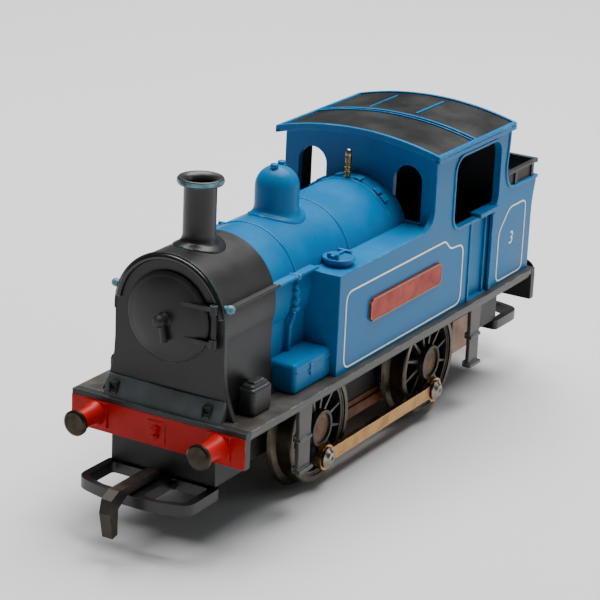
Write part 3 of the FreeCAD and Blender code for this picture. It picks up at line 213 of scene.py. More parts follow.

# ---- Pick-up plate and capacitor ----
# A brown phenolic plate under the bar insulates the wheel pick-ups, whose strips take the plate's finish.
# The orange-brown is partly the laminate's own colour and partly a painted warm reflection.
# The capacitor is a brown ceramic block. All are matt, with a faint laminate mottling.
phenolic = worn_finish("phenolic_laminate_painted_reflection", "#8E5220", "#6E3C16", "#A87240", 0.42, wear=0.3, patch_mm=3)
coat(phenolic, "pickup_plate", "suppressor_capacitor", "pickup_strip_left", "pickup_strip_right")

# ---- Axles and tyres ----
# Ground steel axles carry turned tyres with a nickel plate. The tyres' dark brown-grey is partly
# tarnish from the dirt of the rails and partly painted shade and dark reflection from under the
# plate. The axles have browned too, and only catch the light along their length.
tyre_nickel_and_shade = worn_finish("tarnished_tyre_and_painted_shade", "#5E564B", "#3F3831", "#A39A8A", 0.36, metallic=1.0,
                          wear=0.5, patch_mm=3)
brown_steel = worn_finish("browned_axle_steel", "#6E5137", "#4E3A28", "#9B7B55", 0.4, metallic=1.0,
                          wear=0.4, patch_mm=1.5)
for end in ("front", "rear"):
    coat(brown_steel, f"axle_{end}")
    for side in ("left", "right"):
        coat(tyre_nickel_and_shade, f"tyre_{end}_{side}")

# ---- Wheel centres and crankpins ----
# Black acetal mouldings pressed into the tyres. The outer faces of the rim lip and spokes are a
# painted highlight in paler grey, and each hub's front face is brown. A shouldered screw in each is the
# crankpin.
def slab(mesh, low, high):
    """Box between two corners, in millimetres."""
    low, high = Vector(low), Vector(high)
    size = Matrix.Diagonal((*(high - low), 1))
    bmesh.ops.create_cube(mesh, size=1, matrix=Matrix.Translation((low + high) / 2) @ size)


def flat_on(axis, mirror=1):
    """Placing rule for a sheet's own (u, v, level): on the side, the front or lying flat."""
    return {"y": lambda u, v, w: Vector((u, w * mirror, v)), "x": lambda u, v, w: Vector((w, u, v)),
            "z": lambda u, v, w: Vector((u, v, w))}[axis]


def sheet(mesh, outline, low, high, lay, holes=()):
    """Sheet of an outline with its holes between two levels, by filling and extruding."""
    edges = []
    for loop in (outline, *holes):
        corners = [mesh.verts.new(lay(u, v, low)) for u, v in loop]
        edges += [mesh.edges.new(pair) for pair in zip(corners, corners[1:] + corners[:1])]
    if holes:
        made = bmesh.ops.triangle_fill(mesh, use_beauty=True, use_dissolve=False, edges=edges)["geom"]
    else:
        made = bmesh.ops.contextual_create(mesh, geom=edges)["faces"]
    faces = [item for item in made if isinstance(item, bmesh.types.BMFace)]
    pushed = bmesh.ops.extrude_face_region(mesh, geom=faces)["geom"]
    moved = [item for item in pushed if isinstance(item, bmesh.types.BMVert)]
    bmesh.ops.translate(mesh, verts=moved, vec=lay(0, 0, high) - lay(0, 0, low))


def both_sides(mesh):
    """Repeat everything so far on the other side of the centre line."""
    everything = mesh.verts[:] + mesh.edges[:] + mesh.faces[:]
    bmesh.ops.mirror(mesh, geom=everything, matrix=Matrix(), merge_dist=-1, axis="Y")


def finished(mesh, name, *finishes, slot="blue_body", body="frame_and_body", stands_for=("body_shell",),
             edge=0.14, sharp=32):
    """Bring a mesh from millimetres to its object: outward faces, eased edges, finish and body."""
    bmesh.ops.recalc_face_normals(mesh, faces=mesh.faces)
    bmesh.ops.scale(mesh, vec=(MM, MM, MM), verts=mesh.verts)
    data = bpy.data.meshes.new(name)
    mesh.to_mesh(data)
    mesh.free()
    data.shade_smooth()
    data.set_sharp_from_angle(angle=math.radians(sharp))
    piece = bpy.data.objects.new(name, data)
    bpy.context.scene.collection.objects.link(piece)
    if edge:
        eased = piece.modifiers.new("eased_edges", "BEVEL")
        eased.width, eased.segments, eased.limit_method = edge * MM, 2, "ANGLE"
        eased.angle_limit, eased.harden_normals = math.radians(sharp), True
    for finish in finishes:
        data.materials.append(finish)
    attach(piece, body)
    if stands_for:
        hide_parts(*stands_for)
    return piece


def turned(mesh, profile, place=Matrix(), steps=64):
    """Closed turned shape from a profile of (radius, level) pairs, spun round its axis."""
    part = bmesh.new()
    points = [part.verts.new((radius, 0, height)) for radius, height in profile]
    edges = [part.edges.new(pair) for pair in zip(points, points[1:])]
    bmesh.ops.spin(part, geom=points + edges, cent=(0, 0, 0), axis=(0, 0, 1), angle=2 * math.pi,
                   steps=steps, use_merge=True)
    bmesh.ops.remove_doubles(part, verts=part.verts, dist=0.001)
    bmesh.ops.recalc_face_normals(part, faces=part.faces)
    bmesh.ops.transform(part, matrix=place, verts=part.verts)
    carried = bpy.data.meshes.new("turned")
    part.to_mesh(carried)
    part.free()
    mesh.from_mesh(carried)
    bpy.data.meshes.remove(carried)


def arch(radius, centre, start, stop, steps):
    """Points of an arc, from one angle to another in degrees."""
    return [(centre[0] + radius * math.cos(math.radians(start + (stop - start) * i / steps)),
             centre[1] + radius * math.sin(math.radians(start + (stop - start) * i / steps)))
            for i in range(steps + 1)]


def ring(radius, steps, middle=(0, 0)):
    """Closed circle about a point."""
    return arch(radius, middle, 0, 360, steps)[:-1]


def swung(outline, degrees):
    """Outline turned about the axle."""
    cast, sway = math.cos(math.radians(degrees)), math.sin(math.radians(degrees))
    return [(u * cast - v * sway, u * sway + v * cast) for u, v in outline]


# Moulded acetal is satin black; the painted highlight on its outer faces is a paler grey, and the hub face a
# dull brown.
wheel_black = worn_finish("moulded_acetal_black", "#1D1C1A", "#2A2723", "#857B6C", 0.42, wear=0.7,
                          edge_mm=0.14, patch_mm=3)
painted_highlight_face = worn_finish("painted_highlight_acetal_face", "#5F594F", "#37332D", "#9A9184", 0.4, wear=0.5,
                          patch_mm=2)
hub_brown = worn_finish("brown_hub_face", "#74552F", "#4A3624", "#A58660", 0.45, wear=0.3,
                        patch_mm=1.5)
# Polished nickel plate makes each screw head a bright point beside the black wheel.
bright_nickel = worn_finish("bright_nickel_plate", "#9A9387", "#7C7468", "#D8D3CA", 0.27, metallic=1.0,
                            wear=0.2, patch_mm=2)
FRONT_AXLE_X, REAR_AXLE_X, AXLE_Z, CRANK = 18.835, -17.465, 10.12, 4.7
TREAD_BORE, RIM_BORE, LIP_BORE = 7.92, 7.17, 7.62
HUB_R, HUB_WELL_R, AXLE_HOLE_R, BOSS_R = 3.0, 2.45, 1.6, 1.9
WHEEL_BACK, WHEEL_FACE, WEB_DEPTH, HUB_RISE, SPOKES = 7.45, 11.16, 2.6, 0.5, 12
for end, middle in (("front", FRONT_AXLE_X), ("rear", REAR_AXLE_X)):
    for side, mirror, crank_angle in (("left", 1, 270), ("right", -1, 0)):
        centre = bmesh.new()
        across = flat_on("y", mirror)
        web_back = WHEEL_FACE - WEB_DEPTH
        sheet(centre, ring(TREAD_BORE, 72), WHEEL_BACK, WHEEL_FACE - 0.42, across,
              holes=[ring(RIM_BORE, 72)])
        sheet(centre, ring(TREAD_BORE, 72), WHEEL_FACE - 0.5, WHEEL_FACE - 0.24, across,
              holes=[ring(LIP_BORE, 72)])
        spoke = [(2.7, -0.34), (7.4, -0.19), (7.4, 0.19), (2.7, 0.34)]
        for i in range(SPOKES):
            sheet(centre, swung(spoke, 360 / SPOKES * (i + 0.5)), web_back, WHEEL_FACE - 0.6, across)
        # Painted highlight: the outermost faces of the rim lip and spokes take the paler grey.
        pale = [face for face in centre.faces
                if all(vertex.co.y * mirror > WHEEL_FACE - 0.65 for vertex in face.verts)]
        sheet(centre, ring(HUB_R, 48), WHEEL_BACK, WHEEL_FACE + 0.05, across, holes=[ring(AXLE_HOLE_R, 32)])
        # Each hub's front face takes the brown.
        brown_hub_faces = [face for face in centre.faces
                   if all(vertex.co.y * mirror > WHEEL_FACE for vertex in face.verts)]
        sheet(centre, ring(HUB_R, 48), WHEEL_FACE, WHEEL_FACE + HUB_RISE, across,
              holes=[ring(HUB_WELL_R, 48)])
        [(crank_x, crank_z)] = swung([(CRANK, 0)], crank_angle)
        sheet(centre, ring(BOSS_R, 40, (crank_x, crank_z)), web_back, WHEEL_FACE + HUB_RISE, across)
        web = [(2.6, -1.8), (CRANK, -1.85), (CRANK, 1.85), (2.6, 1.8)]
        sheet(centre, swung(web, crank_angle), web_back, WHEEL_FACE, across)
        for face in pale:
            face.material_index = 1
        for face in brown_hub_faces:
            face.material_index = 2
        bmesh.ops.translate(centre, verts=centre.verts, vec=(middle, 0, AXLE_Z))
        pin = bmesh.new()
        screw = [(0, 9.8), (0.7, 9.8), (0.7, 11.7), (0.88, 11.7), (0.88, 12.76), (1.62, 12.76), (1.7, 12.84),
                 (1.7, 13.0), (1.5, 13.12), (1.28, 13.2), (1.05, 13.5), (0.9, 13.6), (0.35, 13.61),
                 (0.3, 13.45), (0, 13.44)]
        outward = Matrix.Rotation(-math.pi / 2 * mirror, 4, "X")
        turned(pin, screw, Matrix.Translation((middle + crank_x, 0, AXLE_Z + crank_z)) @ outward, steps=40)
        finished(pin, f"crankpin_screw_{end}_{side}", bright_nickel, slot="pin_nickel",
                 body=f"{end}_wheelset", stands_for=(f"crankpin_{end}_{side}",), edge=0, sharp=35)
        finished(centre, f"spoked_centre_{end}_{side}", wheel_black, painted_highlight_face, hub_brown,
                 slot="wheel_black", body=f"{end}_wheelset", stands_for=(f"wheel_centre_{end}_{side}",),
                 edge=0.08)

# ---- Coupling rods ----
# Each rod is a flat steel pressing with an eye at each end, held by the crankpin screws. Turning has
# polished its plate; its warm tan is a painted reflection of warm light, and its pale edges a painted
# highlight.
rod_painted_reflection = worn_finish("polished_steel_painted_reflection", "#C99A5E", "#A87A44", "#F1E6CE", 0.24, metallic=1.0,
                        wear=0.8, patch_mm=4)
coat(rod_painted_reflection, "coupling_rod_left", "coupling_rod_right")

# ---- Couplings ----
# Each end has a moulded acetal loop, screwed under the chassis block, with a drop hook that swings
# on a steel pin. The acetal is a smooth satin black; the hook is stamped steel, chemically blackened,
# with a faint brown metal sheen.
acetal = worn_finish("coupling_acetal_black", "#151515", "#1F1E1D", "#4A4947", 0.36, wear=0.4)
black_steel = worn_finish("blackened_steel", "#2C2926", "#3A332C", "#77706A", 0.42, metallic=0.6,
                          wear=0.5, patch_mm=2)


def fillet(corners, radius, steps=5):
    """Round the corners of a panel; each corner is (x, z) or (x, z, own radius)."""
    rounded_line = []
    for before, corner, after in zip(corners[-1:] + corners[:-1], corners, corners[1:] + corners[:1]):
        here = Vector(corner[:2])
        own = corner[2] if len(corner) > 2 else radius
        start = here + (Vector(before[:2]) - here).normalized() * own
        stop = here + (Vector(after[:2]) - here).normalized() * own
        for i in range(steps + 1):
            t = i / steps
            point = start * (1 - t) ** 2 + here * 2 * t * (1 - t) + stop * t ** 2
            rounded_line.append(tuple(point))
    return rounded_line


LOOP_UNDER, LOOP_TOP, LOOP_HALF, SHANK_HALF = 7.3, 9.1, 10, 2.2
for end, sign in (("front", 1), ("rear", -1)):
    loop = bmesh.new()
    outer = fillet([(45.7, -LOOP_HALF + 0.1, 1.0), (54.5, -LOOP_HALF, 2.0), (56.1, -4.6, 2.5),
                    (56.1, 4.6, 2.5), (54.5, LOOP_HALF, 2.0), (45.7, LOOP_HALF - 0.1, 1.0)], 1.5)
    inner = [fillet([(47.1, start), (47.1, stop), (54.9, stop), (54.9, start * 0.45 + stop * 0.55),
                     (53.6, start)], 0.7) for start, stop in ((-8.6, -SHANK_HALF), (8.6, SHANK_HALF))]
    sheet(loop, outer, LOOP_UNDER, LOOP_TOP, flat_on("z"), holes=inner)
    slab(loop, (42.8, -SHANK_HALF, LOOP_UNDER - 0.05), (47.0, SHANK_HALF, LOOP_TOP + 0.05))
    bmesh.ops.scale(loop, vec=(sign, 1, 1), verts=loop.verts)
    finished(loop, f"loop_{end}", acetal, slot="coupling_black", stands_for=(f"coupling_loop_{end}",),
             edge=0.4)
    coat(black_steel, f"coupling_hook_{end}", f"hook_pin_{end}", f"coupling_screw_{end}")
coat(black_steel, "body_screws")


# ---- Running plate ----
# The plate, its valance and the footsteps are part of the black-painted styrene moulding.
# The satin coat has rubbed through to the blue plastic at the corners and on the step treads,
# and dust has turned the plate's own coat a brownish grey.
worn_black = worn_finish("satin_black_over_styrene", "#232323", "#2E2C2A", "#5F8F9B", 0.42, wear=0.8,
                         speckle=0.2, spared=0.85, sheen=0.34)
plate_black = worn_finish("dusty_plate_black", "#36332F", "#46423C", "#86A6AC", 0.42, wear=0.75,
                          patch_mm=4, speckle=0.6, spared=0.85)


def oblong(low, high):
    """Rectangle from its low and high corners."""
    return [low, (high[0], low[1]), high, (low[0], high[1])]


PLATE_END, PLATE_SIDE, PLATE_TOP, VALANCE_FOOT = 48.4, 15.54, 19.8, 18.2
plate = bmesh.new()
sheet(plate, oblong((-46.9, -PLATE_SIDE), (46.9, PLATE_SIDE)), PLATE_TOP - 0.9, PLATE_TOP, flat_on("z"),
      holes=[oblong((-45.6, -12.7), (30.6, 12.7))])
for low, high in ((-15.19, -14.59), (14.59, 15.19)):
    slab(plate, (-47, low, VALANCE_FOOT), (47, high, PLATE_TOP - 0.8))
finished(plate, "running_plate", plate_black)

FRONT_STEP_X, REAR_STEP_X = 30.2, -26.6
steps = bmesh.new()
for middle in (FRONT_STEP_X, REAR_STEP_X):
    sheet(steps, [(middle - 2, 18.6), (middle + 2, 18.6), (middle + 1.75, 14.4), (middle + 1.75, 7.9),
                  (middle - 1.75, 7.9), (middle - 1.75, 14.4)], 14.3, 15.0, flat_on("y"))
    for height, out, half in ((7.7, 15.54, 2), (12.8, 15.3, 1.8)):
        slab(steps, (middle - half, 13.9, height), (middle + half, out, height + 0.6))
        slab(steps, (middle - half, 13.9, height), (middle + half, 14.3, height + 1.1))
both_sides(steps)
finished(steps, "footsteps", plate_black)

# ---- Buffer beams ----
# Each end of the plate turns down into a beam, with a square pad and a taper shank for each buffer
# and a small plate with a dummy hook in the middle. Red enamel lies on the face only, fairly matt;
# the turned steel buffer heads are blackened, with a brown metal gleam on their rims.
beam_red = worn_finish("red_enamel", "#B8100A", "#A30D08", "#5E8F95", 0.4, wear=0.5, patch_mm=9, sheen=0.18)


def along(axis, spot):
    """Turn a lathe axis from upright to a direction, and set it at a spot."""
    quarter = math.pi / 2
    turn = {"x": Matrix.Rotation(quarter, 4, "Y"), "-x": Matrix.Rotation(-quarter, 4, "Y"),
            "y": Matrix.Rotation(-quarter, 4, "X"), "z": Matrix()}[axis]
    return Matrix.Translation(spot) @ turn


BUFFER_Y, BUFFER_Z, BEAM_FOOT = 10.93, 16.92, 14.06
beams = bmesh.new()
for sign in (1, -1):
    low, high = sorted((sign * 46.95, sign * 48.3))
    slab(beams, (low, -PLATE_SIDE, BEAM_FOOT), (high, PLATE_SIDE, PLATE_TOP))
finished(beams, "buffer_beams", worn_black)
faces = bmesh.new()
rear_shanks = bmesh.new()
shank = [(0, 0), (1.95, 0), (1.9, 0.6), (1.55, 1.4), (1.42, 4.9), (1.3, 5.05), (0, 5.05)]
hook_boss = [(0, 0), (0.62, 0), (0.6, 0.7), (0.42, 0.95), (0, 1.0)]
hook_tip = [(0, 0), (0.55, 0), (0.5, 0.5), (0.25, 0.75), (0, 0.8)]
for sign, axis, shanks in ((1, "x", faces), (-1, "-x", rear_shanks)):
    low, high = sorted((sign * 48.2, sign * PLATE_END))
    slab(faces, (low, -PLATE_SIDE + 0.02, BEAM_FOOT + 0.04), (high, PLATE_SIDE - 0.02, 18.95))
    for y in (-BUFFER_Y, BUFFER_Y):
        low, high = sorted((sign * 48.3, sign * 48.75))
        slab(faces, (low, y - 2.1, BUFFER_Z - 2.1), (high, y + 2.1, BUFFER_Z + 1.9))
        turned(shanks, shank, along(axis, (sign * PLATE_END, y, BUFFER_Z)))
    low, high = sorted((sign * 48.3, sign * 48.62))
    slab(faces, (low, -1.55, 14.75), (high, 1.55, 18.15))
    turned(faces, hook_boss, along(axis, (sign * 48.5, 0, 16.9)), steps=32)
    turned(faces, hook_tip, along(axis, (sign * 48.5, 0, 15.9)), steps=32)
finished(faces, "beam_faces", beam_red)
finished(rear_shanks, "rear_buffer_shanks", worn_black)
buffer_steel = worn_finish("blackened_turned_steel", "#3D352B", "#2B2621", "#7E7260", 0.36, metallic=0.85,
                           wear=0.5, patch_mm=1.5)
for end in ("front", "rear"):
    coat(buffer_steel, f"buffer_head_{end}_left", f"buffer_head_{end}_right")

# ---- Smokebox ----
# Moulded with the body: a round wrapper over a narrow saddle, closed by a flat front plate
# that flares at its foot, all under the same worn black paint.
SMOKE_FRONT, SMOKE_REAR, SMOKE_R, AXIS_Z, SEAT = 45.7, 31.4, 9.65, 33.9, 19.6
smokebox = bmesh.new()
wrapper = arch(SMOKE_R, (0, AXIS_Z), -12, 192, 64)
saddle = [(-9.2, 31.2), (-9.1, 27), (-9.5, 21.2), (-10.4, SEAT), (10.4, SEAT), (9.5, 21.2), (9.1, 27),
          (9.2, 31.2)]
sheet(smokebox, wrapper + saddle, SMOKE_REAR, SMOKE_FRONT - 0.8, flat_on("x"))
finished(smokebox, "smokebox_wrapper", worn_black, sharp=25)

front_plate = bmesh.new()
flared_half = [(9.7, 32.5), (9.68, 29), (9.8, 26.5), (10.1, 24.4), (10.65, 22.4), (11.3, 20.8), (11.9, SEAT)]
sheet(front_plate, arch(SMOKE_R + 0.1, (0, AXIS_Z), 0, 180, 64) + [(-y, z) for y, z in flared_half]
      + flared_half[::-1], SMOKE_FRONT - 0.9, SMOKE_FRONT, flat_on("x"))
finished(front_plate, "smokebox_front_plate", worn_black, sharp=25)

# The round bead on the plate's edge has been rubbed to a gloss, with blue-grey plastic showing.
gloss_black = worn_finish("rubbed_gloss_black", "#161616", "#222120", "#6C98A2", 0.24, wear=0.9,
                          patch_mm=3, spared=0.6)
BEAD_R, BEAD_REACH, BEAD_START = 0.46, 9.1, 9
bead = bmesh.new()
bmesh.ops.create_circle(bead, segments=20, radius=BEAD_R,
                        matrix=Matrix.Translation((SMOKE_FRONT + 0.1, BEAD_REACH, 0)))
bmesh.ops.rotate(bead, verts=bead.verts, matrix=Matrix.Rotation(math.radians(BEAD_START), 3, "X"))
bmesh.ops.spin(bead, geom=bead.verts[:] + bead.edges[:], cent=(0, 0, 0), axis=(1, 0, 0),
               angle=math.radians(180 - 2 * BEAD_START), steps=72)
bmesh.ops.holes_fill(bead, edges=[edge for edge in bead.edges if edge.is_boundary])
bmesh.ops.translate(bead, verts=bead.verts, vec=(0, 0, AXIS_Z))
finished(bead, "front_plate_bead", gloss_black, edge=0, sharp=50)
lip = bmesh.new()
sheet(lip, arch(9.82, (0, AXIS_Z), -4, 184, 72) + arch(9.55, (0, AXIS_Z), 184, -4, 72),
      SMOKE_FRONT - 0.3, SMOKE_FRONT + 0.12, flat_on("x"))
finished(lip, "front_plate_lip", worn_black, edge=0.08, sharp=25)

# ---- Smokebox door ----
# A dished round door, moulded on the front plate and painted with it. Two strap hinges lie across
# it from a vertical bar, and a lever hangs from the handle in its middle.
door = bmesh.new()
dish = [(0, 0), (7.1, 0), (7.1, 0.4), (6.85, 0.62), (6.35, 0.66), (6.1, 0.74), (5.2, 1.02), (3.4, 1.32),
        (1.5, 1.46), (0, 1.48)]
turned(door, dish, along("x", (SMOKE_FRONT, 0, AXIS_Z)), steps=96)
finished(door, "smokebox_door", worn_black, edge=0, sharp=40)


def wire(mesh, start, stop, radius, segments=20, thin=None):
    """Round bar between two points, in millimetres, tapered when a second radius is given."""
    start, stop = Vector(start), Vector(stop)
    run = stop - start
    place = Matrix.Translation((start + stop) / 2) @ run.to_track_quat("Z", "Y").to_matrix().to_4x4()
    bmesh.ops.create_cone(mesh, cap_ends=True, segments=segments, radius1=radius,
                          radius2=radius if thin is None else thin, depth=run.length, matrix=place)


ironwork = bmesh.new()
HINGE_Y = 8.2
for height, inner in ((36.9, 2.6), (31.6, 2.8)):
    slab(ironwork, (SMOKE_FRONT + 0.3, inner, height - 0.32), (SMOKE_FRONT + 1.25, HINGE_Y, height + 0.32))
    wire(ironwork, (SMOKE_FRONT + 0.9, HINGE_Y, height - 0.75),
         (SMOKE_FRONT + 0.9, HINGE_Y, height + 0.75), 0.6)
wire(ironwork, (SMOKE_FRONT + 0.7, HINGE_Y, 30.5), (SMOKE_FRONT + 0.7, HINGE_Y, 37.6), 0.4)
handle = [(0, 0), (1.5, 0), (1.5, 0.25), (0.95, 0.55), (0.8, 1.3), (1.0, 1.5), (1.0, 2.0), (0.6, 2.5),
          (0, 2.6)]
turned(ironwork, handle, along("x", (SMOKE_FRONT + 1.0, 0, AXIS_Z)), steps=40)
wire(ironwork, (SMOKE_FRONT + 2.2, 0, AXIS_Z), (SMOKE_FRONT + 2.0, 0.5, AXIS_Z - 3.4), 0.38, thin=0.55)
finished(ironwork, "door_ironwork", worn_black, edge=0.1)

# ---- Front platform ----
# A sloping cover stands in front of the smokebox, with two sockets in it, and a sand box with a
# lid on each side. All are moulded with the plate. Rubbing has turned the cover's black a satin
# grey; the sockets' matt black is partly their paint and partly painted shade for their deep holes.
worn_grey = worn_finish("rubbed_grey_black", "#4C5254", "#5A6062", "#7C9299", 0.36, wear=0.5,
                        patch_mm=5, speckle=0.3)
# Painted shade: a dull near-black for the inside of the cab and the socket holes.
painted_shade_black = worn_finish("unlit_cab_black", "#161718", "#1D1C19", "#2C2A27", 0.7, wear=0.2)
platform = bmesh.new()
sheet(platform, [(45.5, SEAT), (47.75, SEAT), (47.6, 19.95), (46.0, 22.75), (45.5, 22.75)], -10.4, 10.4,
      flat_on("y"))
finished(platform, "front_cover", worn_grey)
sockets = bmesh.new()
for y in (-8.7, 7.9):
    for low, high in ((y - 0.75, y - 0.5), (y + 0.5, y + 0.75)):
        slab(sockets, (46.3, low, 20.3), (47.5, high, 21.9))
    slab(sockets, (46.3, y - 0.7, 21.7), (47.4, y + 0.7, 22.05))
    slab(sockets, (46.3, y - 0.6, 20.2), (47.3, y + 0.6, 21.0))
finished(sockets, "cover_sockets", painted_shade_black, edge=0.07)
sandboxes = bmesh.new()
slab(sandboxes, (37.0, 9.9, SEAT), (42.4, 13.0, 24.1))
slab(sandboxes, (37.3, 10.2, 23.0), (42.1, 12.7, 24.6))
both_sides(sandboxes)
finished(sandboxes, "sandboxes", worn_black, edge=0.7, sharp=50)
lids = bmesh.new()
slab(lids, (38.4, 10.9, 24.5), (41.2, 12.3, 24.95))
slab(lids, (39.4, 9.6, 24.45), (40.2, 11.2, 24.8))
both_sides(lids)
finished(lids, "sandbox_lids", worn_black, edge=0.15)


# ---- Chimney ----
# A plain stovepipe with a flared foot that sits on the wrapper and a rolled rim; handling has
# taken the black off the rim and shown the blue plastic.
def saddled(mesh, radius, base, fade):
    """Let the foot of a turned shape follow the barrel it stands on."""
    for vertex in mesh.verts:
        drop = radius - math.sqrt(radius ** 2 - min(abs(vertex.co.y), radius - 0.1) ** 2)
        vertex.co.z -= drop * max(0, min(1, 1 - (vertex.co.z - base) / fade))


def raised(profile, level):
    """Profile lifted to start from a level."""
    return [(radius, level + rise) for radius, rise in profile]


rubbed_black = worn_finish("rubbed_black_rim", "#1E1E1E", "#262524", "#6FB0C2", 0.36, wear=1.1,
                           edge_mm=0.3, spared=0.35)
CHIMNEY_X, CHIMNEY_TOP, CHIMNEY_R, BORE_R, RIM_R = 38.3, 53.6, 2.5, 2.0, 3.5
chimney = bmesh.new()
crown = AXIS_Z + SMOKE_R
foot = [(0, -0.9), (4.0, -0.9), (4.05, 0.08), (3.9, 0.2), (3.1, 0.32), (2.72, 0.6), (2.54, 1.0),
        (CHIMNEY_R, 1.5)]
mouth = [(CHIMNEY_R, -1.25), (2.75, -1.12), (3.38, -1.0), (RIM_R, -0.85), (RIM_R, -0.25), (3.38, -0.06),
         (3.15, 0), (2.6, -0.18), (2.1, -0.6), (BORE_R, -1.2)]
profile = raised(foot, crown) + raised(mouth, CHIMNEY_TOP) + raised([(BORE_R, 2), (0, 2)], crown)
turned(chimney, profile, steps=80)
saddled(chimney, SMOKE_R, crown + 0.1, 0.9)
bmesh.ops.translate(chimney, verts=chimney.verts, vec=(CHIMNEY_X, 0, 0))
finished(chimney, "chimney", rubbed_black, edge=0, sharp=50)
# Bare styrene with traces of black: pale blue-grey, in patches under two millimetres across.
bare_rim = worn_finish("rubbed_bare_rim", "#6BA3B2", "#22282B", "#9CCBD2", 0.34, wear=0.4, patch_mm=1.6)
rim = bmesh.new()
rubbed_band = [(3.3, -0.76), (3.5, -0.78), (3.56, -0.64), (3.56, -0.36), (3.48, -0.2), (3.3, -0.2),
               (3.3, -0.76)]
turned(rim, raised(rubbed_band, CHIMNEY_TOP), along("z", (CHIMNEY_X, 0, 0)), steps=80)
finished(rim, "chimney_rim", bare_rim, edge=0, sharp=50)

# ---- Boiler ----
# The blue barrel runs from the smokebox to the cab, with a narrow skirt down to the plate. Raised
# bands mark the joints of its cladding sheets, with small plugs at the firebox band. The paint is
# a satin mid-blue over blue styrene, a little paler where its edges have worn.
worn_blue = worn_finish("satin_blue_paint", "#07649A", "#0C6EA3", "#86C0D4", 0.34, wear=0.6, patch_mm=9,
                        relief=0.06, spared=0.8, sheen=0.16)
BOILER_R, BAND_HALF, PLUG_SPREAD = 9.2, 0.28, 3.4
boiler = bmesh.new()
turned(boiler, [(0, -10.5), (BOILER_R, -10.5), (BOILER_R, 31.6), (0, 31.6)], along("x", (0, 0, AXIS_Z)),
       steps=128)
slab(boiler, (19.6, -8.2, SEAT), (32.2, 8.2, AXIS_Z))
finished(boiler, "boiler_barrel", worn_blue, sharp=25)
bands = bmesh.new()
strap = [(BOILER_R - 0.2, -BAND_HALF), (BOILER_R + 0.1, -BAND_HALF), (BOILER_R + 0.17, 0),
         (BOILER_R + 0.1, BAND_HALF), (BOILER_R - 0.2, BAND_HALF), (BOILER_R - 0.2, -BAND_HALF)]
for x in (24.5, 8.3, -5.75, -7.05):
    turned(bands, strap, along("x", (x, 0, AXIS_Z)), steps=128)
for angle in (46, 56, 79, 101, 124, 134):
    first, last = angle - PLUG_SPREAD, angle + PLUG_SPREAD
    plug = arch(BOILER_R + 0.6, (0, AXIS_Z), first, last, 4)
    plug += arch(BOILER_R - 0.3, (0, AXIS_Z), last, first, 4)
    sheet(bands, plug, -7.5, -5.9, flat_on("x"))
finished(bands, "boiler_bands", worn_blue, edge=0.1, sharp=45)

# ---- Whistle ----
# A small turned brass whistle is pressed into a hole in the firebox. Its bead rings have
# blackened, and the nickel plate of its bell is still bright.
WHISTLE_X = -6
crest = AXIS_Z + BOILER_R
stem_profile = [(0, -0.9), (0.44, -0.9), (0.44, 0.9), (0.6, 1.05), (0.62, 1.3), (0.4, 1.45), (0.4, 1.7),
                (0.6, 1.85), (0.6, 2.1), (0.34, 2.25), (0.34, 2.5), (0.52, 2.65), (0.55, 4.0), (0, 4.0)]
bell_profile = [(0, 3.9), (0.56, 3.9), (0.56, 4.6), (0.42, 4.85), (0.2, 4.98), (0, 5.0)]
for name, finish, profile in (("stem", brass, stem_profile), ("bell", bright_nickel, bell_profile)):
    whistle = bmesh.new()
    turned(whistle, raised(profile, crest), along("z", (WHISTLE_X, 0, 0)), steps=28)
    finished(whistle, f"whistle_{name}", finish, slot="whistle_brass", stands_for=("whistle",), edge=0,
             sharp=40)

# ---- Dome ----
# A tall round-topped cover, moulded on the barrel and painted with it. Its rolled foot follows the
# barrel's curve, and two safety-valve pips stand on its top.
DOME_X, DOME_TOP, DOME_R, CAP_SQUASH = 16.3, 50.4, 3.5, 0.96
dome = bmesh.new()
shoulder = DOME_TOP - DOME_R * CAP_SQUASH
cap = [(radius, shoulder + rise * CAP_SQUASH) for radius, rise in arch(DOME_R, (0, 0), 0, 90, 10)]
foot = [(0, -0.9), (4.6, -0.9), (4.62, 0.08), (4.48, 0.2), (4.0, 0.26), (3.72, 0.42), (3.56, 0.7),
        (DOME_R, 1.1)]
turned(dome, raised(foot, crest) + cap[:-1] + [(0, DOME_TOP)], steps=96)
saddled(dome, BOILER_R, crest + 0.1, 1.0)
bmesh.ops.translate(dome, verts=dome.verts, vec=(DOME_X, 0, 0))
finished(dome, "dome", worn_blue, edge=0, sharp=50)
pips = bmesh.new()
for x in (-1.1, 1.1):
    turned(pips, [(0, -0.9), (0.5, -0.9), (0.5, 0.0), (0.66, 0.1), (0.66, 0.45), (0.5, 0.6), (0, 0.62)],
           along("z", (DOME_X + x, 0, DOME_TOP - 0.15)), steps=24)
finished(pips, "dome_pips", worn_blue, edge=0, sharp=50)


# ---- Tanks, cab and bunker ----
# Two flat side sheets run from the tank front to the bunker, pierced for the cab opening, all one
# moulding with the boiler. The tank front and top, the cab front and back and the flared bunker
# back join them. The coal space is black inside, and the cab's matt black lining is painted shade.
def rounded(low, high, radius, steps=8):
    """Rounded rectangle from its low and high corners."""
    (x0, z0), (x1, z1) = low, high
    return [point for centre, start in (((x1 - radius, z0 + radius), -90), ((x1 - radius, z1 - radius), 0),
                                        ((x0 + radius, z1 - radius), 90), ((x0 + radius, z0 + radius), 180))
            for point in arch(radius, centre, start, start + 90, steps)]


SIDE, WALL, FOOT, TANK_FRONT, TANK_TOP = 14.34, 1.1, 19.5, 20.4, 36.25
CAB_FRONT, CAB_REAR, BUNKER_TOP, BUNKER_REAR, SWEEP = -10, -36.6, 36.8, -48.7, 3.2
ROOF_R, ROOF_APEX, ROOF_SIDE = 56.5, 51.0, 15.5
OPENING = ((-33.2, 34.3), (-16.9, 46.4))
OPENING_CORNER = 2.4


def grown_opening(margin):
    """Cab opening with a margin all round."""
    (x0, z0), (x1, z1) = OPENING
    return rounded((x0 - margin, z0 - margin), (x1 + margin, z1 + margin), OPENING_CORNER + margin)


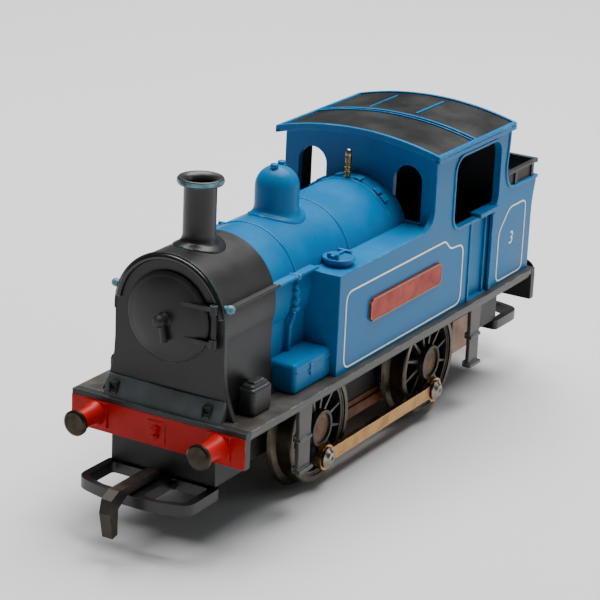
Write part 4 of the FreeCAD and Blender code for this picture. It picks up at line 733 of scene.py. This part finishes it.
bodywork = bmesh.new()
side_outline = [(TANK_FRONT, FOOT), (TANK_FRONT, TANK_TOP), (CAB_FRONT + SWEEP, TANK_TOP)]
side_outline += arch(SWEEP, (CAB_FRONT + SWEEP, TANK_TOP + SWEEP), 270, 180, 8)[1:]
rear_edge = [(-36.85, 47.6), (-36.7, 44.8), (-36.4, 42.6), (-36.2, 41.4), (-36.3, 40.2), (-36.55, 39.1),
             (-37.0, 38.1), (-37.7, 37.35), (-38.6, 36.95), (-39.6, BUNKER_TOP),
             (BUNKER_REAR, BUNKER_TOP)]
flare = [(-48.35, 35.4), (-47.85, 33.6), (-47.5, 31.8), (-47.4, 30), (-47.4, FOOT)]
side_outline += [(CAB_FRONT, 47.6), *rear_edge, *flare]
door_recess = oblong((-31.2, FOOT + 0.4), (-23.9, 33.7))
sheet(bodywork, side_outline, SIDE - WALL, SIDE, flat_on("y"), holes=[grown_opening(0), door_recess])
slab(bodywork, (-31.6, 12.8, FOOT), (-23.5, SIDE - 0.8, 34.1))
both_sides(bodywork)
finished(bodywork, "body_sides", worn_blue)

tank_sheets = bmesh.new()
slab(tank_sheets, (TANK_FRONT - WALL, 7.5, FOOT), (TANK_FRONT + 0.02, SIDE - 0.24, TANK_TOP - 0.02))
slab(tank_sheets, (CAB_FRONT - 0.5, 7.5, TANK_TOP - WALL), (TANK_FRONT - 0.03, SIDE - 0.2, TANK_TOP + 0.02))
both_sides(tank_sheets)
finished(tank_sheets, "tank_front_and_top", worn_blue)

roof_centre = ROOF_APEX - ROOF_R


def roof_arc(radius, half_width, steps=40):
    """Arc of the roof from one side to the other at a given radius."""
    reach = math.degrees(math.asin(half_width / radius))
    return arch(radius, (0, roof_centre), 90 - reach, 90 + reach, steps)


cab_front = bmesh.new()
WINDOW_Y, WINDOW_R, WINDOW_SILL, WINDOW_HEAD = 9.0, 2.6, 36.6, 43.4
windows = []
for middle in (WINDOW_Y, -WINDOW_Y):
    sill = [(middle - WINDOW_R, WINDOW_SILL), (middle + WINDOW_R, WINDOW_SILL)]
    windows.append(arch(WINDOW_R, (middle, WINDOW_HEAD), 0, 180, 20) + sill)
sheet(cab_front, roof_arc(ROOF_R - 1, SIDE - 0.1) + [(-SIDE + 0.1, 34), (SIDE - 0.1, 34)], CAB_FRONT - WALL,
      CAB_FRONT + 0.02, flat_on("x"), holes=windows)
finished(cab_front, "cab_front_sheet", worn_blue)
cab_back = bmesh.new()
sheet(cab_back, roof_arc(ROOF_R - 1, SIDE - 0.1) + [(-SIDE + 0.1, 30), (SIDE - 0.1, 30)], CAB_REAR,
      CAB_REAR + WALL, flat_on("x"))
finished(cab_back, "cab_back_sheet", worn_blue)

bunker = bmesh.new()
inner_flare = [(x + WALL, z) for x, z in flare]
bunker_lip = [(BUNKER_REAR, BUNKER_TOP), (BUNKER_REAR + WALL, BUNKER_TOP)]
sheet(bunker, flare[::-1] + bunker_lip + inner_flare, -SIDE + 0.03, SIDE - 0.03, flat_on("y"))
bmesh.ops.translate(bunker, verts=bunker.verts, vec=(-0.015, 0, -0.01))
finished(bunker, "bunker_back", worn_blue)

# Painted shade: this matt black lining darkens the inside of the cab; in the coal space it is the black
# there.
lining_sheets = bmesh.new()
LINING_SIDE = 13.26
coal_floor = (-46.5, -13.3, 29.5), (CAB_REAR + 0.2, 13.3, 30.6)
coal_front = (CAB_REAR - 0.12, -LINING_SIDE, 30.5), (CAB_REAR + 0.1, LINING_SIDE, 38)
coal_left = (-46.0, LINING_SIDE - 0.12, 30.5), (CAB_REAR - 0.1, LINING_SIDE, 36.7)
coal_right = (-46.0, -LINING_SIDE, 30.5), (CAB_REAR - 0.1, -LINING_SIDE + 0.12, 36.7)
coal_rear = (-46.45, -LINING_SIDE, 30.5), (-46.2, LINING_SIDE, 33.5)
cab_floor = (CAB_REAR + 1, -13.3, 28.2), (CAB_FRONT - 1, 13.3, 29.4)
cab_rear_wall = (CAB_REAR + WALL - 0.1, -13.24, 29.3), (CAB_REAR + WALL + 0.12, 13.24, 47.2)
cab_front_wall = (CAB_FRONT - WALL - 0.12, -6.3, 29.3), (CAB_FRONT - WALL + 0.1, 6.3, 48.2)
for low, high in (coal_floor, coal_front, coal_left, coal_right, cab_floor, cab_rear_wall, cab_front_wall,
                  coal_rear):
    slab(lining_sheets, low, high)
sheet(lining_sheets, [(-46.2, 33.3), (-46.55, 33.3), (-47.5, 36.9), (-47.2, 36.9)], -LINING_SIDE,
      LINING_SIDE, flat_on("y"))
for low, high in ((13.05, LINING_SIDE), (-LINING_SIDE, -13.05)):
    sheet(lining_sheets, oblong((-35.4, 29.3), (-11.2, 47.3)), low, high, flat_on("y"),
          holes=[grown_opening(0.1)])
finished(lining_sheets, "cab_and_coal_space_lining", painted_shade_black, edge=0)

# ---- Cab beading and doors ----
# Thin beads, raised on the side sheets in the mould, frame the cab opening. Upright beads and a
# ledge frame the doorway, and a strip follows the rear edge of the cab down to the bunker.
beading = bmesh.new()
sheet(beading, grown_opening(0.55), SIDE - 0.3, SIDE + 0.22, flat_on("y"), holes=[grown_opening(0)])
slab(beading, (-23.9, SIDE - 0.5, 19.9), (-23.35, SIDE + 0.25, 33.8))
slab(beading, (-31.95, SIDE - 0.5, 19.9), (-31.2, SIDE + 0.4, 33.8))
slab(beading, (-30.6, SIDE - 0.9, 19.9), (-30.0, SIDE - 0.35, 33.8))
slab(beading, (-33.2, SIDE - 1.6, 34.0), (-26.2, SIDE + 0.55, 34.85))


def ribbon(line, width):
    """Outline of a strip that keeps to the left of an open line."""
    inner = []
    for before, here, after in zip(line[:1] + line[:-1], line, line[1:] + line[-1:]):
        run = (Vector(after) - Vector(before)).normalized()
        inner.append((here[0] - run.y * width, here[1] + run.x * width))
    return line + inner[::-1]


sheet(beading, ribbon(rear_edge, 0.6), SIDE - 0.3, SIDE + 0.2, flat_on("y"))
both_sides(beading)
finished(beading, "cab_beading", worn_blue, edge=0.12)

# ---- Cab roof ----
# One arched sheet of the same moulding, with a raised rib round its edge and a double rib across
# it. The ribs stay blue, and the panels between them carry a thin, scratched satin coat of black.
roof_black = worn_finish("scratched_roof_black", "#131313", "#201F1D", "#9DB0B2", 0.38, wear=0.6,
                         speckle=0.9, patch_mm=10)
ROOF_REAR, ROOF_FRONT, EDGE_RIB = -36.5, -8.4, 0.65


def across_roof(mesh, top, under, reach, rear, front):
    """Arched sheet from side to side, its faces sunk below the roof line by two amounts."""
    outline = roof_arc(ROOF_R - top, reach) + roof_arc(ROOF_R - under, reach)[::-1]
    sheet(mesh, outline, rear, front, flat_on("x"))


def along_roof(mesh, top, under, start, stop, steps, rear, front):
    """Rib along the roof between two distances from its middle, its faces sunk by two amounts."""
    angles = [90 - math.degrees(math.asin(y / ROOF_R)) for y in (start, stop)]
    outline = arch(ROOF_R - top, (0, roof_centre), *angles, steps)
    outline += arch(ROOF_R - under, (0, roof_centre), *angles[::-1], steps)
    sheet(mesh, outline, rear, front, flat_on("x"))


roof = bmesh.new()
across_roof(roof, 0.45, 1.2, ROOF_SIDE, ROOF_REAR, ROOF_FRONT)
across_roof(roof, 0, 0.9, ROOF_SIDE - 0.04, -9.05, ROOF_FRONT + 0.02)
across_roof(roof, 0, 0.9, ROOF_SIDE - 0.3, -22.3, -21.75)
across_roof(roof, 0, 0.9, ROOF_SIDE - 0.04, ROOF_REAR - 0.02, -35.9)
across_roof(roof, 0.03, 0.9, ROOF_SIDE - 0.5, -21.1, -20.8)
for start, stop in ((ROOF_SIDE - EDGE_RIB, ROOF_SIDE), (-ROOF_SIDE, -ROOF_SIDE + EDGE_RIB)):
    along_roof(roof, -0.01, 1.22, start, stop, 4, ROOF_REAR, ROOF_FRONT)
for y, half, top in ((2.6, 0.22, 0.05), (-6.4, 0.18, 0.16)):
    along_roof(roof, top, 0.8, y - half, y + half, 2, -33.8, -24.0)
finished(roof, "cab_roof", worn_blue)
panels = bmesh.new()
for rear, front in ((-21.8, -9.0), (-35.95, -22.25)):
    across_roof(panels, 0.28, 0.7, ROOF_SIDE - 0.6, rear, front)
finished(panels, "roof_panels", roof_black, edge=0.06)

# ---- Coal rail ----
# A black moulded rail stands on short posts round the bunker, with a thin plate behind the posts
# that has gone a matt brown with dust.
dusty_brown = worn_finish("dusty_brown_black", "#2F2722", "#3D332B", "#5C5148", 0.6, wear=0.3, patch_mm=3)
coal_rail = bmesh.new()
slab(coal_rail, (BUNKER_REAR, -SIDE, 38.9), (BUNKER_REAR + 0.8, SIDE, 39.7))
for sign in (1, -1):
    low, high = sorted((sign * (SIDE - 0.75), sign * (SIDE - 0.01)))
    slab(coal_rail, (-48.65, low, 39.0), (-37.0, high, 39.58))
    for x in (-46.9, -40.4):
        slab(coal_rail, (x - 0.45, low + 0.06, 36.6), (x + 0.45, high - 0.04, 39.2))
for y in (-7, 0, 7):
    slab(coal_rail, (-48.55, y - 0.5, 36.6), (-48.05, y + 0.5, 39.1))
finished(coal_rail, "coal_rail", worn_black, edge=0.1)
backing = bmesh.new()
slab(backing, (-48.2, -SIDE + 0.9, 36.7), (-47.95, SIDE - 0.9, 39.0))
for sign in (1, -1):
    low, high = sorted((sign * (SIDE - 0.65), sign * (SIDE - 0.4)))
    slab(backing, (-46.6, low, 36.6), (-37.3, high, 39.1))
finished(backing, "coal_rail_backing", dusty_brown, edge=0)

# ---- Tank fillers ----
# Each tank top has a round filler, moulded on it in blue, with a stepped lid, a hinge bar across
# one end of its strap and a screw clamp at the other.
fillers = bmesh.new()
FILLER_X, FILLER_Y = 15.3, 11.0
lid = [(0, -0.3), (2.2, -0.3), (2.2, 0.7), (2.55, 0.75), (2.6, 1.2), (2.48, 1.32), (1.95, 1.36),
       (1.9, 1.5), (0, 1.55)]
turned(fillers, lid, along("z", (FILLER_X, FILLER_Y, TANK_TOP)), steps=64)
slab(fillers, (13.5, FILLER_Y - 0.3, TANK_TOP + 1.4), (17.5, FILLER_Y + 0.3, TANK_TOP + 1.9))
wire(fillers, (13.5, 9.8, TANK_TOP + 1.65), (13.5, 12.2, TANK_TOP + 1.65), 0.34, 12)
for y in (FILLER_Y - 0.7, FILLER_Y + 0.7):
    wire(fillers, (17.1, y, TANK_TOP + 1.3), (17.1, y, TANK_TOP + 2.2), 0.32, 12)
both_sides(fillers)
finished(fillers, "tank_fillers", worn_blue, edge=0.08)

# ---- Toolboxes ----
# Round-cornered blue boxes of the same moulding stand ahead of the tanks, with the joint of the
# lid drawn as a thin bead and a small hasp across it.
toolboxes = bmesh.new()
slab(toolboxes, (20.0, 7.9, SEAT), (31.0, 13.2, 24.6))
both_sides(toolboxes)
finished(toolboxes, "toolboxes", worn_blue, edge=0.75, sharp=60)
hasps = bmesh.new()
sheet(hasps, oblong((20.2, 23.15), (30.6, 23.4)), 12.6, 13.3, flat_on("y"))
slab(hasps, (25.9, 13.0, 21.9), (26.6, 13.42, 23.7))
slab(hasps, (25.6, 13.0, 22.5), (26.9, 13.36, 22.9))
both_sides(hasps)
finished(hasps, "toolbox_hasps", worn_blue, edge=0.07)

# ---- Handrails ----
# A rail runs along each side of the boiler at the tank top, moulded on a thin web: black beside
# the smokebox and blue behind it. The knob at its front end has lost its paint, which bares the
# pale blue-grey styrene.
RAIL_Y, RAIL_Z, KNOB_X = 10.1, 36.9, 45.0
stalk = [(0, -1.6), (0.3, -1.6), (0.3, -0.5), (0.52, -0.35), (0.54, 0.2), (0.36, 0.5), (0, 0.55)]
for name, finish, start, stop, stalks in (("black", worn_black, SMOKE_REAR, KNOB_X, ()),
                                          ("blue", worn_blue, 20.2, SMOKE_REAR, (26.0,))):
    rail = bmesh.new()
    wire(rail, (start, RAIL_Y, RAIL_Z), (stop, RAIL_Y, RAIL_Z), 0.3)
    for x in stalks:
        turned(rail, stalk, along("y", (x, RAIL_Y, RAIL_Z)), steps=20)
    slab(rail, (start, 8.6, RAIL_Z - 0.1), (stop, RAIL_Y, RAIL_Z + 0.1))
    both_sides(rail)
    finished(rail, f"handrail_{name}", finish, edge=0, sharp=50)
knobs = bmesh.new()
knob = [(0, -2.6), (0.45, -2.6), (0.45, -0.6), (0.64, -0.35), (0.68, 0.15), (0.5, 0.5), (0, 0.62)]
turned(knobs, knob, along("y", (KNOB_X, RAIL_Y, RAIL_Z)), steps=28)
both_sides(knobs)
bare_styrene = worn_finish("rubbed_bare_styrene", "#5E9BA6", "#3F6F7A", "#9CCBD2", 0.4, wear=0.4,
                           patch_mm=1.2)
finished(knobs, "handrail_end_knobs", bare_styrene, edge=0, sharp=50)

# ---- Clack valves ----
# The feed enters each side of the boiler through a small valve like a stack of beads, with its
# pipe running down to the toolbox. Both are moulded on the boiler and painted blue with it.
valves = bmesh.new()
VALVE_X, VALVE_Y = 25.2, 9.35
stack = [(0, -1.2), (0.35, -1.2), (0.7, -0.9), (0.75, -0.4), (0.45, -0.1), (0.45, 0.2), (0.8, 0.5),
         (0.8, 1.0), (0.5, 1.3), (0.5, 1.6), (0.7, 1.9), (0.7, 2.3), (0.4, 2.7), (0.5, 3.0), (0.3, 3.4),
         (0, 3.45)]
turned(valves, stack, along("z", (VALVE_X, VALVE_Y, 32.0)), steps=28)
wire(valves, (VALVE_X, VALVE_Y, 31.2), (25.9, 8.9, 28.6), 0.38)
wire(valves, (25.9, 8.9, 28.7), (25.9, 8.75, 24.0), 0.38)
both_sides(valves)
finished(valves, "clack_valves", worn_blue, edge=0, sharp=50)

# ---- Painted lining ----
# Thin lines of cream ink, printed on the tank and bunker sides, follow the shape of each panel.
# They are matt, with specks where the blue shows through.
LINE_WIDTH, INK_MM = 0.29, 0.02
cream = worn_finish("printed_cream_line", "#FFFDF0", "#F2F0E0", "#7FA9BC", 0.45, wear=0.0, patch_mm=2,
                    speckle=0.8)


def printed_line(mesh, outline, width, level):
    """Ribbon just proud of the side sheet: a face, inset by the line's width, keeps only its rim."""
    corners = [mesh.verts.new((x, level, z)) for x, z in outline]
    panel = mesh.faces.new(corners)
    panel.normal_update()
    bmesh.ops.inset_individual(mesh, faces=[panel], thickness=width, use_even_offset=True)
    bmesh.ops.delete(mesh, geom=[panel], context="FACES")


lines = bmesh.new()
tank_panel = fillet([(18.3, 20.3), (-21.4, 20.3), (-21.4, 31.0), (-16.6, 31.3, 0.8), (-14.6, 33.1, 0.8),
                     (18.3, 33.1)], 2.0)
bunker_panel = fillet([(-34.6, 20.2), (-44.9, 20.2), (-44.9, 33.2), (-38.4, 33.2, 1.2),
                       (-34.6, 29.4, 1.2)], 1.6)
for outline in (tank_panel, bunker_panel):
    printed_line(lines, outline, LINE_WIDTH, SIDE + 0.03)
both_sides(lines)
bmesh.ops.solidify(lines, geom=lines.faces[:], thickness=INK_MM)
finished(lines, "cream_lining", cream, edge=0)

# ---- Running number ----
# A plain sloping numeral in the middle of each bunker side, printed in the same cream ink as the
# lines. It is laid out flat, made a mesh, and then stood against the side.
NUMERAL_HEIGHT, NUMERAL_X, NUMERAL_Z = 3.2, -39.6, 27.2
for side, sign in (("left", 1), ("right", -1)):
    figure = bpy.data.curves.new("numeral", "FONT")
    figure.body, figure.size, figure.extrude, figure.shear = "3", NUMERAL_HEIGHT, INK_MM, 0.15
    figure.align_x, figure.align_y = "CENTER", "CENTER"
    holder = bpy.data.objects.new("numeral", figure)
    bpy.context.scene.collection.objects.link(holder)
    bpy.context.view_layer.update()
    flat = bpy.data.meshes.new_from_object(holder)
    bpy.data.objects.remove(holder)
    numeral = bmesh.new()
    numeral.from_mesh(flat)
    bmesh.ops.remove_doubles(numeral, verts=numeral.verts, dist=0.0001)
    turn = Matrix.Rotation(math.pi if sign > 0 else 0, 4, "Z") @ Matrix.Rotation(math.pi / 2, 4, "X")
    spot = Matrix.Translation((NUMERAL_X, sign * (SIDE + INK_MM), NUMERAL_Z))
    bmesh.ops.transform(numeral, matrix=spot @ turn, verts=numeral.verts)
    finished(numeral, f"running_number_{side}", cream, edge=0)

# ---- Nameplates ----
# A thin plate with notched corners is fixed to each tank side, left without lettering. Its face is
# printed red, scuffed brownish and satin, and the line of gilt round its edge has a dull gleam.
plate_red = worn_finish("printed_red_plate", "#B02A12", "#861C0E", "#C0964E", 0.42, wear=0.7, patch_mm=3,
                        speckle=0.7, sheen=0.25)
gilt = worn_finish("worn_gilt_edge", "#8C6A3C", "#6A3A26", "#C9A765", 0.35, metallic=0.5, wear=0.8,
                   patch_mm=2)
NAME_FRONT, NAME_REAR, NAME_FOOT, NAME_HEAD, NOTCH_R, NAME_RISE = 10.7, -13.0, 26.1, 29.85, 0.55, 0.38
outline = []
for x, z, start in ((NAME_FRONT, NAME_FOOT, 90), (NAME_FRONT, NAME_HEAD, 180), (NAME_REAR, NAME_HEAD, 270),
                    (NAME_REAR, NAME_FOOT, 0)):
    outline += arch(NOTCH_R, (x, z), start + 90, start, 5)
for side, sign in (("left", 1), ("right", -1)):
    nameplate = bmesh.new()
    sheet(nameplate, outline, SIDE, SIDE + NAME_RISE, flat_on("y", sign))
    finished(nameplate, f"nameplate_{side}", plate_red, slot="red_plate", stands_for=(f"nameplate_{side}",),
             edge=0.05)
    frame_line = bmesh.new()
    printed_line(frame_line, outline, 0.22, (SIDE + NAME_RISE + 0.01) * sign)
    bmesh.ops.solidify(frame_line, geom=frame_line.faces[:], thickness=0.04)
    finished(frame_line, f"nameplate_edge_{side}", gilt, slot="red_plate", stands_for=(f"nameplate_{side}",),
             edge=0)
